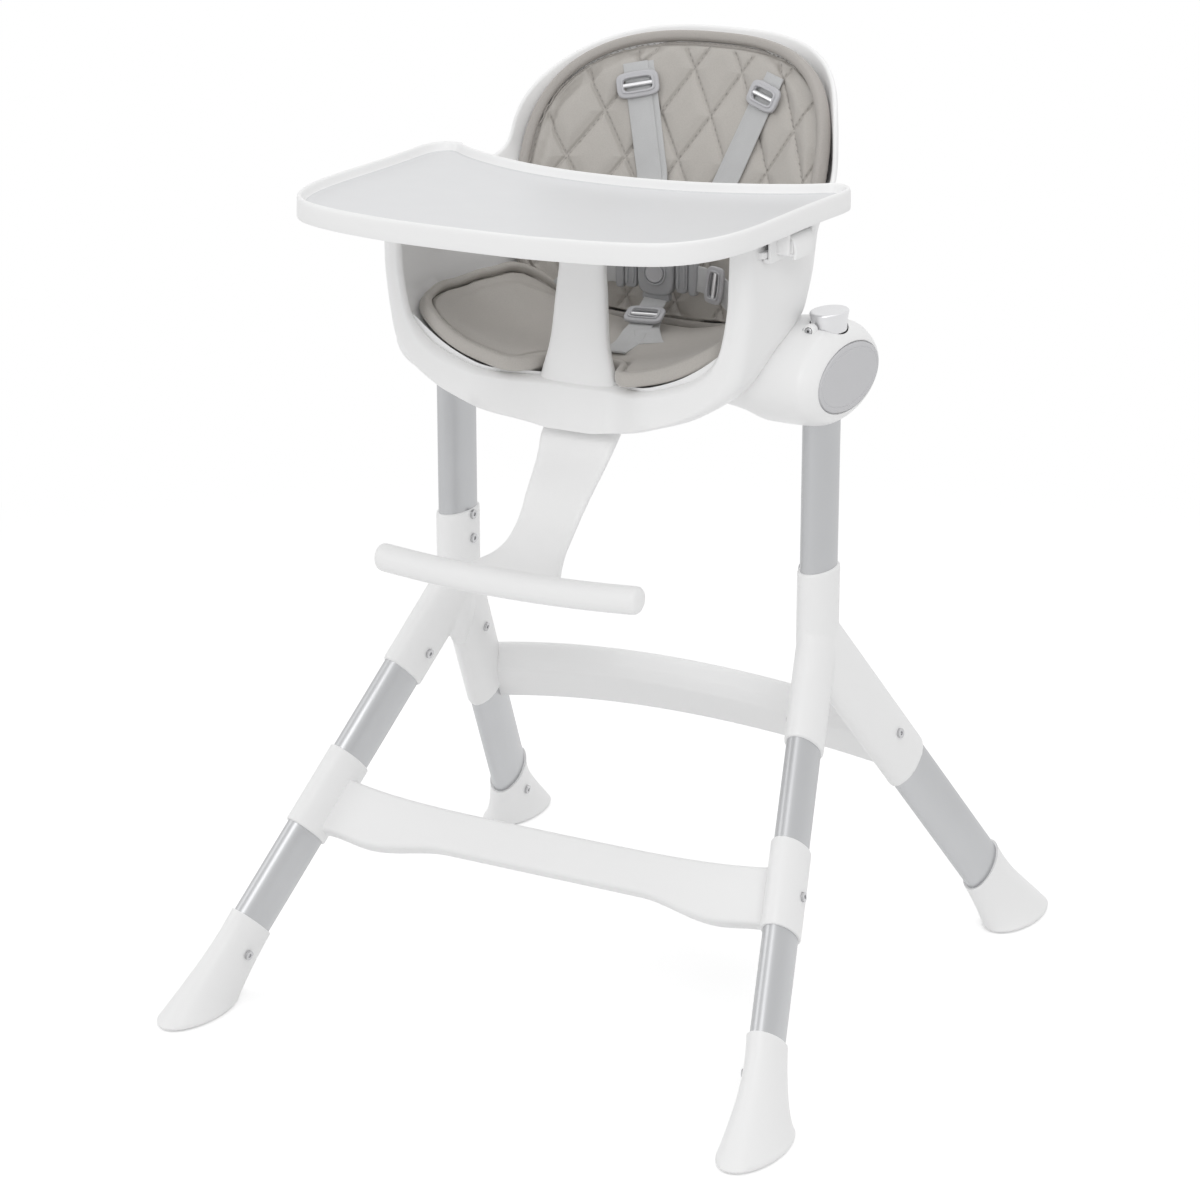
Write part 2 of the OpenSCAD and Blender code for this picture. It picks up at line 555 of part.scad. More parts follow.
root_y = 106;              // where the footrest's stem meets the shell, forward of the uprights
module footrest() color(plastic) placed() {
    top = seat_base_h + 0.3;
    drop = top - footrest_h;
    reach = footrest_reach - root_y;
    // Depth and reach as fractions, half width, half thickness, and the lean of the section.
    loft([for (r = [[0, -0.1, 26, 9, 0], [0.02, -0.06, 34, 10, 6], [0.07, 0.03, 42, 9, 30],
        [0.25, 0.14, 39, 7, 45], [0.5, 0.33, 35, 7, 48], [0.76, 0.52, 32.5, 7, 46], [0.9, 0.67, 34, 8, 58],
        [0.96, 0.8, 39, 8.5, 76], [0.985, 0.9, 44, 8.5, 84], [1, 1, 47, 8, 88]])
        rounded_ring([0, -root_y - r[1] * reach, top - r[0] * drop], r[2],
            [0, -cos(r[4]) * r[3], sin(r[4]) * r[3]])]);
    half = footrest_w / 2;
    loft([for (k = [-14 : 14]) let (x = half * sin(k * 90 / 14), e = max(0, abs(x) - half + footrest_d / 2),
        r = max(1.5, sqrt(max(0, pow(footrest_d / 2, 2) - e * e))), bow = 1 - pow(x / half, 2))
        [for (i = [0 : 23]) [x, -footrest_reach - 8 * bow + r * cos(15 * i),
            footrest_h - 3.5 * bow + r * sin(15 * i)]]]);
}

// ---- tray ----

tray_half = seat_half + tray_overhang;
tray_back = 18;
tray_front = tray_back - 3 - tray_l;
tray_z = armrest_h + 1;
tray_top_t = 12;

function loop_normal(p, i) = let (n = len(p), d = unit(p[(i + 1) % n] - p[(i + n - 1) % n])) [d[1], -d[0]];
function grow_loop(p, by) = [for (i = [0 : len(p) - 1]) p[i] + loop_normal(p, i) * by];
function depth_at(f) = mix(tray_front, tray_back, f);

// Right half of the tray's outline, from the middle of the front edge to the middle of the back.
tray_side = [[0, 0], [0.14, 0.001], [0.28, 0.007], [0.42, 0.018], [0.6, 0.04], [0.74, 0.07], [0.8, 0.09],
    [0.865, 0.13], [0.915, 0.18], [0.95, 0.24], [0.975, 0.32], [0.987, 0.42], [0.987, 0.55], [0.987, 0.7],
    [0.995, 0.82], [1, 0.9], [0.99, 0.95], [0.965, 0.985], [0.93, 0.997], [0.885, 0.99]];
function back_edge(f) = tray_back - 73 + 70 * pow(f, 2.2);
tray_right = concat([for (p = tray_side) [p[0] * tray_half, depth_at(p[1])]],
    [for (f = [0.95, 0.86, 0.75, 0.62, 0.48, 0.33, 0.17, 0]) [f * tray_half * 0.885, back_edge(f)]]);
tray_loop = concat(tray_right,
    [for (i = [len(tray_right) - 2 : -1 : 1]) [-tray_right[i][0], tray_right[i][1]]]);

module tray_slab(by, from, to) translate([0, 0, tray_z + from]) linear_extrude(to - from)
    polygon(grow_loop(tray_loop, by));

skirt_x = seat_half + rail_out + 0.5;
skirt_t = 3.5;
skirt_from = -125;
skirt_to = -30;
latch_at = [seat_half + 16, 0, armrest_h - 8];
latch_from = -108;
latch_to = -64;
latch_pin_d = 4;

module tray_base() color(plastic) placed() difference() {
    union() {
        difference() {
            tray_slab(-0.6, 0, tray_h - tray_top_t);
            tray_slab(-4, 2.5, tray_h);
        }
        for (s = [-1, 1]) mirror([s < 0 ? 1 : 0, 0, 0]) {
            translate([skirt_x, skirt_from, rail_z - 5])
                cube([skirt_t, skirt_to - skirt_from, tray_z - rail_z + 6]);
            translate([seat_half + 1.5, skirt_from, rail_z - 5])
                cube([skirt_x - seat_half, skirt_to - skirt_from, 4.5]);
            for (y = [latch_from - 5, latch_to + 0.6]) translate([skirt_x + 1, y, latch_at[2] - 5])
                cube([latch_at[0] + 5 - skirt_x, 4.4, tray_z - latch_at[2] + 6]);
        }
    }
    for (s = [-1, 1]) mirror([s < 0 ? 1 : 0, 0, 0]) {
        translate([seat_half + 0.5, latch_from - 0.6, rail_z - 1.8])
            cube([skirt_x + skirt_t - seat_half, latch_to - latch_from + 1.2, 8]);
        y_rod(latch_at, latch_pin_d + 0.1, latch_from - 8, latch_to + 8);
    }
}

module tray_top() color(plastic) placed() difference() {
    tray_slab(0, tray_h - tray_top_t + 0.1, tray_h);
    tray_slab(-10, tray_h - tray_top_t + 2.6, tray_h + 1);
}

module tray_latch(s) color(plastic) sided(s) difference() {
    translate(latch_at) translate([0, latch_to, 0]) rotate([90, 0, 0]) linear_extrude(latch_to - latch_from)
        polygon([[-3.5, 4], [4.5, 4], [10, -3], [11.5, -20], [8, -20], [6.5, -16], [-9.7, -16],
            [-9.7, -13], [4.5, -13], [3, -4], [-3.5, -4]]);
    y_rod(latch_at, latch_pin_d + 0.16, latch_from - 1, latch_to + 1);
}

module latch_pins() color(steel) for (s = [-1, 1]) sided(s)
    y_rod(latch_at, latch_pin_d, latch_from - 5, latch_to + 5);

// ---- soft parts ----

pad_base = seat_floor + 3.5;
pad_top = pad_base + pad_t;
pad_rim = pad_base + 63;
pad_front = front_y - 16;
function pad_arc(z, gap) = let (half = shell_half(z, -shell_wall - gap),
    c = max(shell_centre(z), pad_front + 18),
    depth = min(shell_back(z) - shell_wall - gap, back_y(0, z) - 16) - c, e = 2 / shell_power(z))
    [for (i = [0 : 26]) let (a = 180 * i / 26) [half * signed_power(cos(a), e), c + depth * pow(sin(a), e)]];
function pad_ring(z, gap) = let (half = shell_half(z, -shell_wall - gap), h = 52,
    notch = front_y + post_t + 8, f = pad_front)
    [for (p = concat(pad_arc(z, gap), [[-half + 2, f + 9], [-half + 18, f]],
        [for (i = [0 : 3]) [mix(-half + 30, -h - 8, i / 3), f]], [[-h, f + 6], [-h, notch - 3]],
        [[-h + 3, notch], [h - 3, notch]], [[h, notch - 3], [h, f + 6]],
        [for (i = [0 : 3]) [mix(h + 8, half - 30, i / 3), f]],
        [[half - 18, f], [half - 2, f + 9]])) [p[0], p[1], z]];
// The front view of the pad's top: a shallow channel between the wings.
channel = [for (c = [[0, 52], [4, 36], [12, 28], [38, 26], [pad_rim - pad_top, 21]])
    [shell_half(pad_top + c[0], -shell_wall - c[1]), pad_top + c[0]]];
module pad_profile() polygon(concat(channel, [[seat_half + 9, pad_rim], [seat_half + 9, pad_base - 9],
    [-seat_half - 9, pad_base - 9], [-seat_half - 9, pad_rim]],
    [for (i = [len(channel) - 1 : -1 : 0]) [-channel[i][0], channel[i][1]]]));

module seat_pad() color(pad_colour) placed() intersection() {
    loft([pad_ring(pad_base, 12), pad_ring(pad_base + 6, 8), pad_ring(pad_base + 15, 8),
        pad_ring(pad_base + 24, 9), pad_ring(pad_base + 39, 10), pad_ring(pad_rim - 8, 12),
        pad_ring(pad_rim + 6, 17)]);
    translate([0, 300, 0]) rotate([90, 0, 0]) linear_extrude(600) pad_profile();
}

back_half = seat_half * 168.5 / 203;
back_mid = seat_base_h + 210;
back_rise_half = 135;
function back_y(x, z) = 161 - shell_wall + 0.41 * (z - seat_base_h - 296)
    - 49 * pow(x / (back_half * 0.875), 2);
module back_pad() color(pad_colour) placed() loft([for (k = [-12 : 12])
    let (f = sin(k * 7.4), z = back_mid + back_rise_half * f,
        w = back_half * pow(1 - pow(abs(f), 2.95), 1 / 2.95))
    concat([for (i = [-8 : 8]) let (x = w * i / 8) [x, back_y(x, z), z]],
        [for (i = [8 : -1 : -8]) let (x = w * i / 8, e = max(abs(i / 8), abs(f)))
            [x, back_y(x, z) + mix(back_pad_t, 7, pow(e, 6)), z]])]);

// A point at the given distance in front of the backrest pad, and the pad's sideways slope there.
function on_back(x, z, off) = [x, back_y(x, z) - off, z];
function back_slope(x) = [1, -98 * x / pow(back_half * 0.875, 2), 0];
buckle = [0, 55, seat_base_h + 124];

function shoulder_path(s) = concat([for (f = [0 : 0.2 : 1])
    on_back(s * mix(80, 44, f), seat_base_h + mix(314, 206, f), 1.8 + 0.8 * f)],
    [[s * 37, 88, buckle[2] + 52], [s * 34, 62, buckle[2] + 33], [s * 34, 49.5, buckle[2] + 21.5]]);
function shoulder_across(s) = [for (i = [0 : 8]) back_slope(s * mix(80, 20, i / 8) * (i > 5 ? 0 : 1))];
function waist_path(s) = [[s * 37, 48.5, buckle[2] - 2], [s * 52, 46, buckle[2] - 2],
    [s * 72, 42, buckle[2] - 7], [s * 90, 38, buckle[2] - 17], [s * 104, 35, buckle[2] - 29]];
crotch_path = [[0, 47, buckle[2] - 26.5], [0, 41, buckle[2] - 30], [1, 27, buckle[2] - 37],
    [4, 6, buckle[2] - 46], [8, -14, pad_top + 5], [12, -34, pad_top + 1.8], [16, -56, pad_top + 1.4],
    [18, -76, pad_top + 1.4]];

module shoulder_strap(s) color(webbing_colour) placed() strap(shoulder_path(s), shoulder_across(s));
module waist_strap(s) color(webbing_colour) placed() strap(waist_path(s), [for (i = [0 : 4]) [0, 0.28, 1]]);
module crotch_strap() color(webbing_colour) placed() strap(crotch_path, [for (i = [0 : 7]) [1, 0.1, 0]]);

// Local Z points forward from the buckle's back, local Y up.
module at_buckle() translate(buckle) rotate([90, 0, 0]) children();
module rounded_plate(w, h, t, n = 3.5) linear_extrude(t) polygon([for (i = [0 : 39])
    [w / 2 * signed_power(cos(9 * i), 2 / n), h / 2 * signed_power(sin(9 * i), 2 / n)]]);

button_d = 20;
module buckle_body() color(grey_plastic) placed() at_buckle() difference() {
    rounded_plate(44, 50, 14);
    translate([0, 0, 3]) cylinder(d = button_d + 0.16, h = 12);
    for (s = [-1, 1]) translate([s * 17.5, 0, 7]) cube([10, 18.4, 2.8], center = true);
    translate([0, -25, 7]) cube([webbing_w + 2, 4, 4], center = true);
}

module buckle_button() color(grey_plastic) placed() at_buckle() translate([0, 0, 7]) difference() {
    cylinder(d = button_d, h = 7.8);
    translate([0, 0, -1]) cylinder(d = button_d - 5, h = 3);
}

module buckle_spring() color(steel) placed() at_buckle() translate([0, 0, 3.1]) coil(11, 1, 5.8, 3);

module buckle_tongue(s) color(steel) placed() at_buckle() translate([0, 0, 6])
    linear_extrude(2) difference() {
    polygon([for (p = [[13, -9], [22.6, -9], [23.4, -15], [36, -15], [36, 12], [40, 20.5], [25, 20.5],
        [23, 9], [13, 9]]) [s * p[0], p[1]]]);
    polygon([for (p = [[29.5, -13], [33, -13], [33, 9], [29.5, 9]]) [s * p[0], p[1]]]);
}

// A ladder adjuster: a frame with a bar across its window, lying over the webbing.
module adjuster_frame() difference() {
    rounded_plate(34, 24, 5, 6);
    translate([0, 0, -1]) rounded_plate(27, 16, 7, 8);
}
module adjuster_bar() translate([-13.3, 0, 2.2]) rotate([0, 90, 0]) cylinder(d = 4, h = 26.6);
module at_shoulder(s) placed()
    on_strap(shoulder_path(s)[0], shoulder_path(s)[1], back_slope(s * 80), 1.4) children();
module at_waist(s) placed() on_strap(waist_path(s)[1], waist_path(s)[2], [0, 0.28, 1], 1.4) children();
module at_crotch() placed() on_strap(crotch_path[2], crotch_path[3], [1, 0.1, 0], 1.4) children();

module shoulder_adjusters() color(grey_plastic) for (s = [-1, 1]) at_shoulder(s) adjuster_frame();
module waist_adjusters() color(grey_plastic) for (s = [-1, 1]) at_waist(s) adjuster_frame();
module crotch_adjuster() color(grey_plastic) at_crotch() adjuster_frame();
module adjuster_bars() color(steel) {
    for (s = [-1, 1]) {
        at_shoulder(s) adjuster_bar();
        at_waist(s) adjuster_bar();
    }
    at_crotch() adjuster_bar();
}

// ---- nodes ----

upright(-1);  // upright_left
upright(1);  // upright_right
y_joint(-1);  // y_joint_left
y_joint(1);  // y_joint_right
front_leg(-1);  // front_leg_left
front_leg(1);  // front_leg_right
rear_leg(-1);  // rear_leg_left
rear_leg(1);  // rear_leg_right
front_foot(-1);  // foot_front_left
front_foot(1);  // foot_front_right
rear_foot(-1);  // foot_rear_left
rear_foot(1);  // foot_rear_right
foot_pads();
crossbar_collar(-1);  // crossbar_collar_left
crossbar_collar(1);  // crossbar_collar_right
front_crossbar();
rear_crossbar();
frame_screws();
seat_shell();
hub(-1);  // hub_left
hub(1);  // hub_right
hub_cap(-1);  // hub_cap_left
hub_cap(1);  // hub_cap_right
release_lever(-1);  // release_lever_left
release_lever(1);  // release_lever_right
lever_pins();
lock_pin(-1);  // lock_pin_left
lock_pin(1);  // lock_pin_right
lock_spring(-1);  // lock_spring_left
lock_spring(1);  // lock_spring_right
crotch_post();
footrest();
tray_base();
tray_top();
tray_latch(-1);  // tray_latch_left
tray_latch(1);  // tray_latch_right
latch_pins();
seat_pad();
back_pad();
shoulder_strap(-1);  // shoulder_strap_left
shoulder_strap(1);  // shoulder_strap_right
waist_strap(-1);  // waist_strap_left
waist_strap(1);  // waist_strap_right
crotch_strap();
buckle_body();
buckle_button();
buckle_spring();
buckle_tongue(-1);  // buckle_tongue_left
buckle_tongue(1);  // buckle_tongue_right
shoulder_adjusters();
waist_adjusters();
crotch_adjuster();
adjuster_bars();
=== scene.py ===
import math

import bpy
import numpy as np
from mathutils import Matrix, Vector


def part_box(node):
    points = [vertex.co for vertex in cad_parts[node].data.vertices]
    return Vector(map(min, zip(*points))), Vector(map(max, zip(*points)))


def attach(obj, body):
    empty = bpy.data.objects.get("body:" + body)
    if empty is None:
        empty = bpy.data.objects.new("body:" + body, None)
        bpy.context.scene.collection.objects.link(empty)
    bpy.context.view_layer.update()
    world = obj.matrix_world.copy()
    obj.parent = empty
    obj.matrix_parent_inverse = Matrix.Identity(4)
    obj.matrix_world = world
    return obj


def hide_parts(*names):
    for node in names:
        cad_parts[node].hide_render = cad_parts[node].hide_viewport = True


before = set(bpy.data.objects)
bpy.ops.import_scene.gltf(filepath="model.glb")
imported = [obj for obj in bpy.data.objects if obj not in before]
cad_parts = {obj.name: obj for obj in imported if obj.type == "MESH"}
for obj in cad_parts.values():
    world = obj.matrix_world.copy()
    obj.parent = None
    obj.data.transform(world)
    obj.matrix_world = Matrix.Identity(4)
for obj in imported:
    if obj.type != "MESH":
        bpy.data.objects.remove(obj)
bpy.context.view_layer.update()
print("frame loaded:", len(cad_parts), "nodes")

# Shapes are worked out in millimetres, with Y measured from the uprights' plane.
low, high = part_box("upright_right")
uprightY = 500 * (low.y + high.y)
postX = 500 * (low.x + high.x)
lateral = np.array([1.0, 0.0, 0.0])


# Camera, light and floor

shot = {"place": (1.67123, -3.04522, 1.54711), "turn": 29.130, "fall": 18.259, "lens": 107.82}
studio = {
    "world": 0.62,  # even light from all round
    "key": (2.2, -3.0, 3.2), "keyPower": 46, "keySize": 2.6,
    "fill": (-3.2, -1.8, 1.9), "fillPower": 18, "fillSize": 2.6,
    "top": (0.2, 0.6, 3.6), "topPower": 22, "topSize": 3.0,
    "aim": (0, 0, 0.55),
    "floor": 0.90, "floorGlow": 0.34, "floorHalf": 9, "fadeFrom": 0.75, "fadeTo": 1.9,
}


def addObject(name, data):
    made = bpy.data.objects.new(name, data)
    bpy.context.scene.collection.objects.link(made)
    return made


camera = addObject("camera", bpy.data.cameras.new("camera"))
camera.location = shot["place"]
camera.rotation_euler = (math.radians(90 - shot["fall"]), 0, math.radians(shot["turn"]))
camera.data.lens = shot["lens"]
camera.data.sensor_width = 36
camera.data.clip_end = 60
bpy.context.scene.camera = camera
bpy.context.scene.view_settings.view_transform = "Standard"


def softLamp(which):
    # A round lamp that is turned towards the aim.
    data = bpy.data.lights.new(which + "Light", "AREA")
    data.shape = "DISK"
    data.size = studio[which + "Size"]
    data.energy = studio[which + "Power"]
    lamp = addObject(which + "Light", data)
    lamp.location = studio[which]
    toward = np.array(studio["aim"]) - np.array(studio[which])
    lamp.rotation_euler = (math.atan2(math.hypot(toward[0], toward[1]), -toward[2]), 0,
                           math.atan2(toward[1], toward[0]) - math.pi / 2)


for which in ("key", "fill", "top"):
    softLamp(which)


# Node helpers

def newMaterial(name):
    made = bpy.data.materials.new(name)
    made.use_nodes = True
    tree = made.node_tree
    shader = tree.nodes["Principled BSDF"]
    return made, tree, shader


# One node, with its settings, and inputs given as numbers or as the sockets that feed them.
def addNode(tree, kind, inputs=None, **settings):
    node = tree.nodes.new(kind)
    for key, value in settings.items():
        setattr(node, key, value)
    for key, value in (inputs or {}).items():
        if isinstance(value, bpy.types.NodeSocket):
            tree.links.new(value, node.inputs[key])
        else:
            node.inputs[key].default_value = value
    return node


def maths(tree, operation, *inputs):
    return addNode(tree, "ShaderNodeMath", dict(enumerate(inputs)), operation=operation).outputs[0]


# 1 for rays from the camera or off something shiny or clear, 0 for light that falls on things.
def seenDirectly(tree):
    path = addNode(tree, "ShaderNodeLightPath").outputs
    seen = maths(tree, "MAXIMUM", path["Is Camera Ray"], path["Is Glossy Ray"])
    return maths(tree, "MAXIMUM", seen, path["Is Transmission Ray"])


world = bpy.data.worlds.new("studio")
bpy.context.scene.world = world
world.use_nodes = True
sky = world.node_tree
backing = sky.nodes["Background"]
backing.inputs["Strength"].default_value = studio["world"]
backing.inputs["Color"].default_value = (1, 1, 1, 1)
white = addNode(sky, "ShaderNodeBackground", {"Color": (1, 1, 1, 1), "Strength": 1.0})
both = addNode(sky, "ShaderNodeMixShader",
               {0: seenDirectly(sky), 1: backing.outputs[0], 2: white.outputs[0]})
sky.links.new(both.outputs[0], sky.nodes["World Output"].inputs["Surface"])


# Pale floor, seen a shade lighter than what it gives back, so that it meets the background.
def floorMaterial():
    made, tree, shader = newMaterial("studioFloor")
    grain = addNode(tree, "ShaderNodeTexNoise", {"Scale": 3.0, "Detail": 2.0})
    tone = addNode(tree, "ShaderNodeMapRange",
                   {0: grain.outputs[0], 3: 0.985 * studio["floor"], 4: studio["floor"]}).outputs[0]
    colour = addNode(tree, "ShaderNodeCombineColor", {0: tone, 1: tone, 2: tone})
    tree.links.new(colour.outputs[0], shader.inputs["Base Color"])
    shader.inputs["Roughness"].default_value = 0.9
    shader.inputs["Specular IOR Level"].default_value = 0.1
    glow = addNode(tree, "ShaderNodeEmission", {"Color": (1, 1, 1, 1), "Strength": studio["floorGlow"]})
    lit = addNode(tree, "ShaderNodeAddShader", {0: shader.outputs[0], 1: glow.outputs[0]})
    # further out than the shadow reaches, the floor is seen as plain white
    place = addNode(tree, "ShaderNodeTexCoord").outputs["Object"]
    away = addNode(tree, "ShaderNodeVectorMath", {0: place}, operation="LENGTH").outputs["Value"]
    fade = addNode(tree, "ShaderNodeMapRange", {0: away, 1: studio["fadeFrom"], 2: studio["fadeTo"]},
                   interpolation_type="SMOOTHSTEP")
    blank = addNode(tree, "ShaderNodeEmission", {"Color": (1, 1, 1, 1), "Strength": 1.0})
    # each row: what chooses, what shows at 0 and what shows at 1; from below the floor is clear
    surface = lit.outputs[0]
    surface = addNode(tree, "ShaderNodeMixShader",
                      {0: fade.outputs[0], 1: surface, 2: blank.outputs[0]}).outputs[0]
    surface = addNode(tree, "ShaderNodeMixShader",
                      {0: seenDirectly(tree), 1: shader.outputs[0], 2: surface}).outputs[0]
    under = addNode(tree, "ShaderNodeNewGeometry").outputs["Backfacing"]
    clear = addNode(tree, "ShaderNodeBsdfTransparent").outputs[0]
    surface = addNode(tree, "ShaderNodeMixShader", {0: under, 1: surface, 2: clear}).outputs[0]
    tree.links.new(surface, tree.nodes["Material Output"].inputs["Surface"])
    return made


floorMesh = bpy.data.meshes.new("studioFloor")
far = studio["floorHalf"]
floorMesh.from_pydata([(-far, -far, 0), (far, -far, 0), (far, far, 0), (-far, far, 0)], [], [(0, 1, 2, 3)])
floor = addObject("studioFloor", floorMesh)
floor.data.materials.append(floorMaterial())
print("camera, lights and floor ready")


# Finishes

# The colour from place to place: colour times a cloudy value from 1 - spread to 1 + spread.
def noiseTone(tree, coords, colour, spread, scale, detail=3.0):
    cloud = addNode(tree, "ShaderNodeTexNoise", {"Vector": coords, "Scale": scale, "Detail": detail})
    dark = tuple(c * (1 - spread) for c in colour) + (1,)
    pale = tuple(min(1, c * (1 + spread)) for c in colour) + (1,)
    tone = addNode(tree, "ShaderNodeMix", {0: cloud.outputs[0], 6: dark, 7: pale}, data_type="RGBA")
    return tone.outputs[2]


def bumpOf(tree, height, strength, distance, normal=None):
    inputs = {"Height": height, "Strength": strength, "Distance": distance}
    if normal is not None:
        inputs["Normal"] = normal
    return addNode(tree, "ShaderNodeBump", inputs).outputs[0]


# Uneven gloss: roughness runs from low to high with a cloudy value.
def unevenGloss(tree, shader, cloud, low, high):
    rough = addNode(tree, "ShaderNodeMapRange", {0: cloud, 3: low, 4: high})
    tree.links.new(rough.outputs[0], shader.inputs["Roughness"])


# Painted shade and highlight: the colour times a value that runs from its first number to its second with the
# height.
def shadedColour(tree, shader, base, height, low, high, first, second):
    share = addNode(tree, "ShaderNodeMapRange", {0: height, 1: low, 2: high, 3: first, 4: second})
    shade = addNode(tree, "ShaderNodeVectorMath", {0: base, "Scale": share.outputs[0]}, operation="SCALE")
    tree.links.new(shade.outputs[0], shader.inputs["Base Color"])


# Moulded plastic: a faint cloud in its colour, a fine spark-eroded grain and slightly uneven gloss.
def mouldedPlastic(name, colour, rough, grainScale=1400.0, grainStrength=0.12):
    made, tree, shader = newMaterial(name)
    place = addNode(tree, "ShaderNodeTexCoord").outputs["Object"]
    tree.links.new(noiseTone(tree, place, colour, 0.012, 9.0), shader.inputs["Base Color"])
    gloss = addNode(tree, "ShaderNodeTexNoise", {"Vector": place, "Scale": 34.0, "Detail": 4.0})
    unevenGloss(tree, shader, gloss.outputs[0], rough - 0.05, rough + 0.06)
    grain = addNode(tree, "ShaderNodeTexNoise", {"Vector": place, "Scale": grainScale, "Detail": 2.0})
    wave = addNode(tree, "ShaderNodeTexNoise", {"Vector": place, "Scale": 42.0, "Detail": 1.0})
    soft = bumpOf(tree, wave.outputs[0], 0.10, 0.0006)
    tree.links.new(bumpOf(tree, grain.outputs[0], grainStrength, 0.00008, soft), shader.inputs["Normal"])
    shader.inputs["IOR"].default_value = 1.46
    return made


# Satin metal: fine draw lines along the piece, from its own UV map (U round it, V along it).
def brushedMetal(name, colour, rough, alongUv=True):
    made, tree, shader = newMaterial(name)
    coords = addNode(tree, "ShaderNodeTexCoord").outputs
    place, scale = (coords["UV"], (420, 3, 1)) if alongUv else (coords["Object"], (500, 500, 30))
    stretched = addNode(tree, "ShaderNodeMapping", {"Vector": place, "Scale": scale})
    lines = addNode(tree, "ShaderNodeTexNoise", {"Vector": stretched.outputs[0], "Scale": 1.0, "Detail": 4.0})
    tree.links.new(noiseTone(tree, coords["Object"], colour, 0.03, 14.0), shader.inputs["Base Color"])
    unevenGloss(tree, shader, lines.outputs[0], rough - 0.06, rough + 0.08)
    tree.links.new(bumpOf(tree, lines.outputs[0], 0.10, 0.00005), shader.inputs["Normal"])
    shader.inputs["Metallic"].default_value = 1.0
    return made


# Soft coated fabric: rounded pebbles between fine creases, with painted shade in the creases.
def leatherette(name, colour, rough):
    made, tree, shader = newMaterial(name)
    place = addNode(tree, "ShaderNodeTexCoord").outputs["Object"]
    pebbles = addNode(tree, "ShaderNodeTexVoronoi", {"Vector": place, "Scale": 820.0, "Randomness": 0.9})
    creases = addNode(tree, "ShaderNodeTexNoise",
                      {"Vector": place, "Scale": 150.0, "Detail": 5.0, "Roughness": 0.6})
    base = noiseTone(tree, place, colour, 0.035, 22.0)
    # painted shade: darker towards the pebbles' edges, in the creases between them
    shadedColour(tree, shader, base, pebbles.outputs[0], 0.15, 0.75, 1.0, 0.93)
    unevenGloss(tree, shader, creases.outputs[0], rough - 0.07, rough + 0.08)
    fine = bumpOf(tree, pebbles.outputs[0], 0.22, -0.00012)
    tree.links.new(bumpOf(tree, creases.outputs[0], 0.18, 0.0004, fine), shader.inputs["Normal"])
    shader.inputs["Sheen Weight"].default_value = 0.12
    shader.inputs["Sheen Roughness"].default_value = 0.45
    return made


# Woven strap: a herringbone of fine yarns, from the strap's UV map in millimetres (U across, V along).
def webbing(name, colour, rough):
    made, tree, shader = newMaterial(name)
    coords = addNode(tree, "ShaderNodeTexCoord").outputs
    across, lengthways, _ = addNode(tree, "ShaderNodeSeparateXYZ", {0: coords["UV"]}).outputs
    slanted = maths(tree, "ADD", lengthways, maths(tree, "PINGPONG", across, 3.1))
    rows = maths(tree, "SINE", maths(tree, "MULTIPLY", slanted, 5.2))
    ends = maths(tree, "SINE", maths(tree, "MULTIPLY", across, 7.5))
    relief = maths(tree, "MULTIPLY_ADD", ends, 0.35, rows)
    base = noiseTone(tree, coords["Object"], colour, 0.04, 60.0)
    # painted shade in the weave's hollows and a painted highlight on its raised yarns
    shadedColour(tree, shader, base, relief, -1.3, 1.3, 0.80, 1.04)
    tree.links.new(bumpOf(tree, relief, 0.5, 0.00022), shader.inputs["Normal"])
    shader.inputs["Roughness"].default_value = rough
    shader.inputs["Sheen Weight"].default_value = 0.25
    shader.inputs["Sheen Roughness"].default_value = 0.35
    return made


finishes = {
    "white": mouldedPlastic("satinWhite", (0.90, 0.90, 0.90), 0.40),
    # a greyer copy of the white for the tray top's floor: painted shade
    "trayPaintedShade": mouldedPlastic("trayPaintedShade", (0.70, 0.705, 0.715), 0.34),
    "grey": mouldedPlastic("greyPlastic", (0.52, 0.52, 0.54), 0.45),
    "darkGrey": mouldedPlastic("buckleGrey", (0.40, 0.405, 0.42), 0.42),
    "disc": mouldedPlastic("capGrey", (0.60, 0.60, 0.615), 0.5),
    "tube": brushedMetal("drawnAluminium", (0.50, 0.505, 0.515), 0.40),
    "steel": brushedMetal("zincSteel", (0.55, 0.55, 0.56), 0.30, alongUv=False),
    "lever": brushedMetal("satinSilver", (0.74, 0.74, 0.75), 0.30, alongUv=False),
    # dark rubber of the foot pads, also used as painted shade round the lever screws' heads and in their
    # sockets
    "rubber": mouldedPlastic("softRubberAndPaintedShade", (0.05, 0.05, 0.053), 0.75, 700.0, 0.3),
    "cushion": leatherette("cushionGreige", (0.505, 0.480, 0.448), 0.50),
    "binding": leatherette("cushionBinding", (0.43, 0.405, 0.38), 0.55),
    "thread": mouldedPlastic("stitchThread", (0.36, 0.345, 0.325), 0.8, 2500.0, 0.4),
    "strap": webbing("harnessWebbing", (0.64, 0.645, 0.65), 0.62),
}
print("finishes ready:", len(finishes))


# Surface helpers

# a at t = 0 and b at t = 1, in a straight line between them.
def mix(a, b, t):
    return a + (b - a) * t


# Smooth step: 3 t^2 - 2 t^3 between 0 and 1.
def ease(t):
    t = np.clip(t, 0, 1)
    return t * t * (3 - 2 * t)


# |v|^p with the sign of v.
def signedPower(v, p):
    return np.sign(v) * np.abs(v) ** p


# The same directions, one unit long.
def unit(v):
    v = np.asarray(v, float)
    return v / np.maximum(np.linalg.norm(v, axis=-1, keepdims=True), 1e-12)


# Angles evenly spaced round a full turn.
def fullTurn(count):
    return np.linspace(0, 2 * math.pi, count, endpoint=False)


# Length along a row of points, from 0 at the first one.
def runOf(points):
    return np.concatenate([[0], np.cumsum(np.linalg.norm(np.diff(points, axis=0), axis=1))])


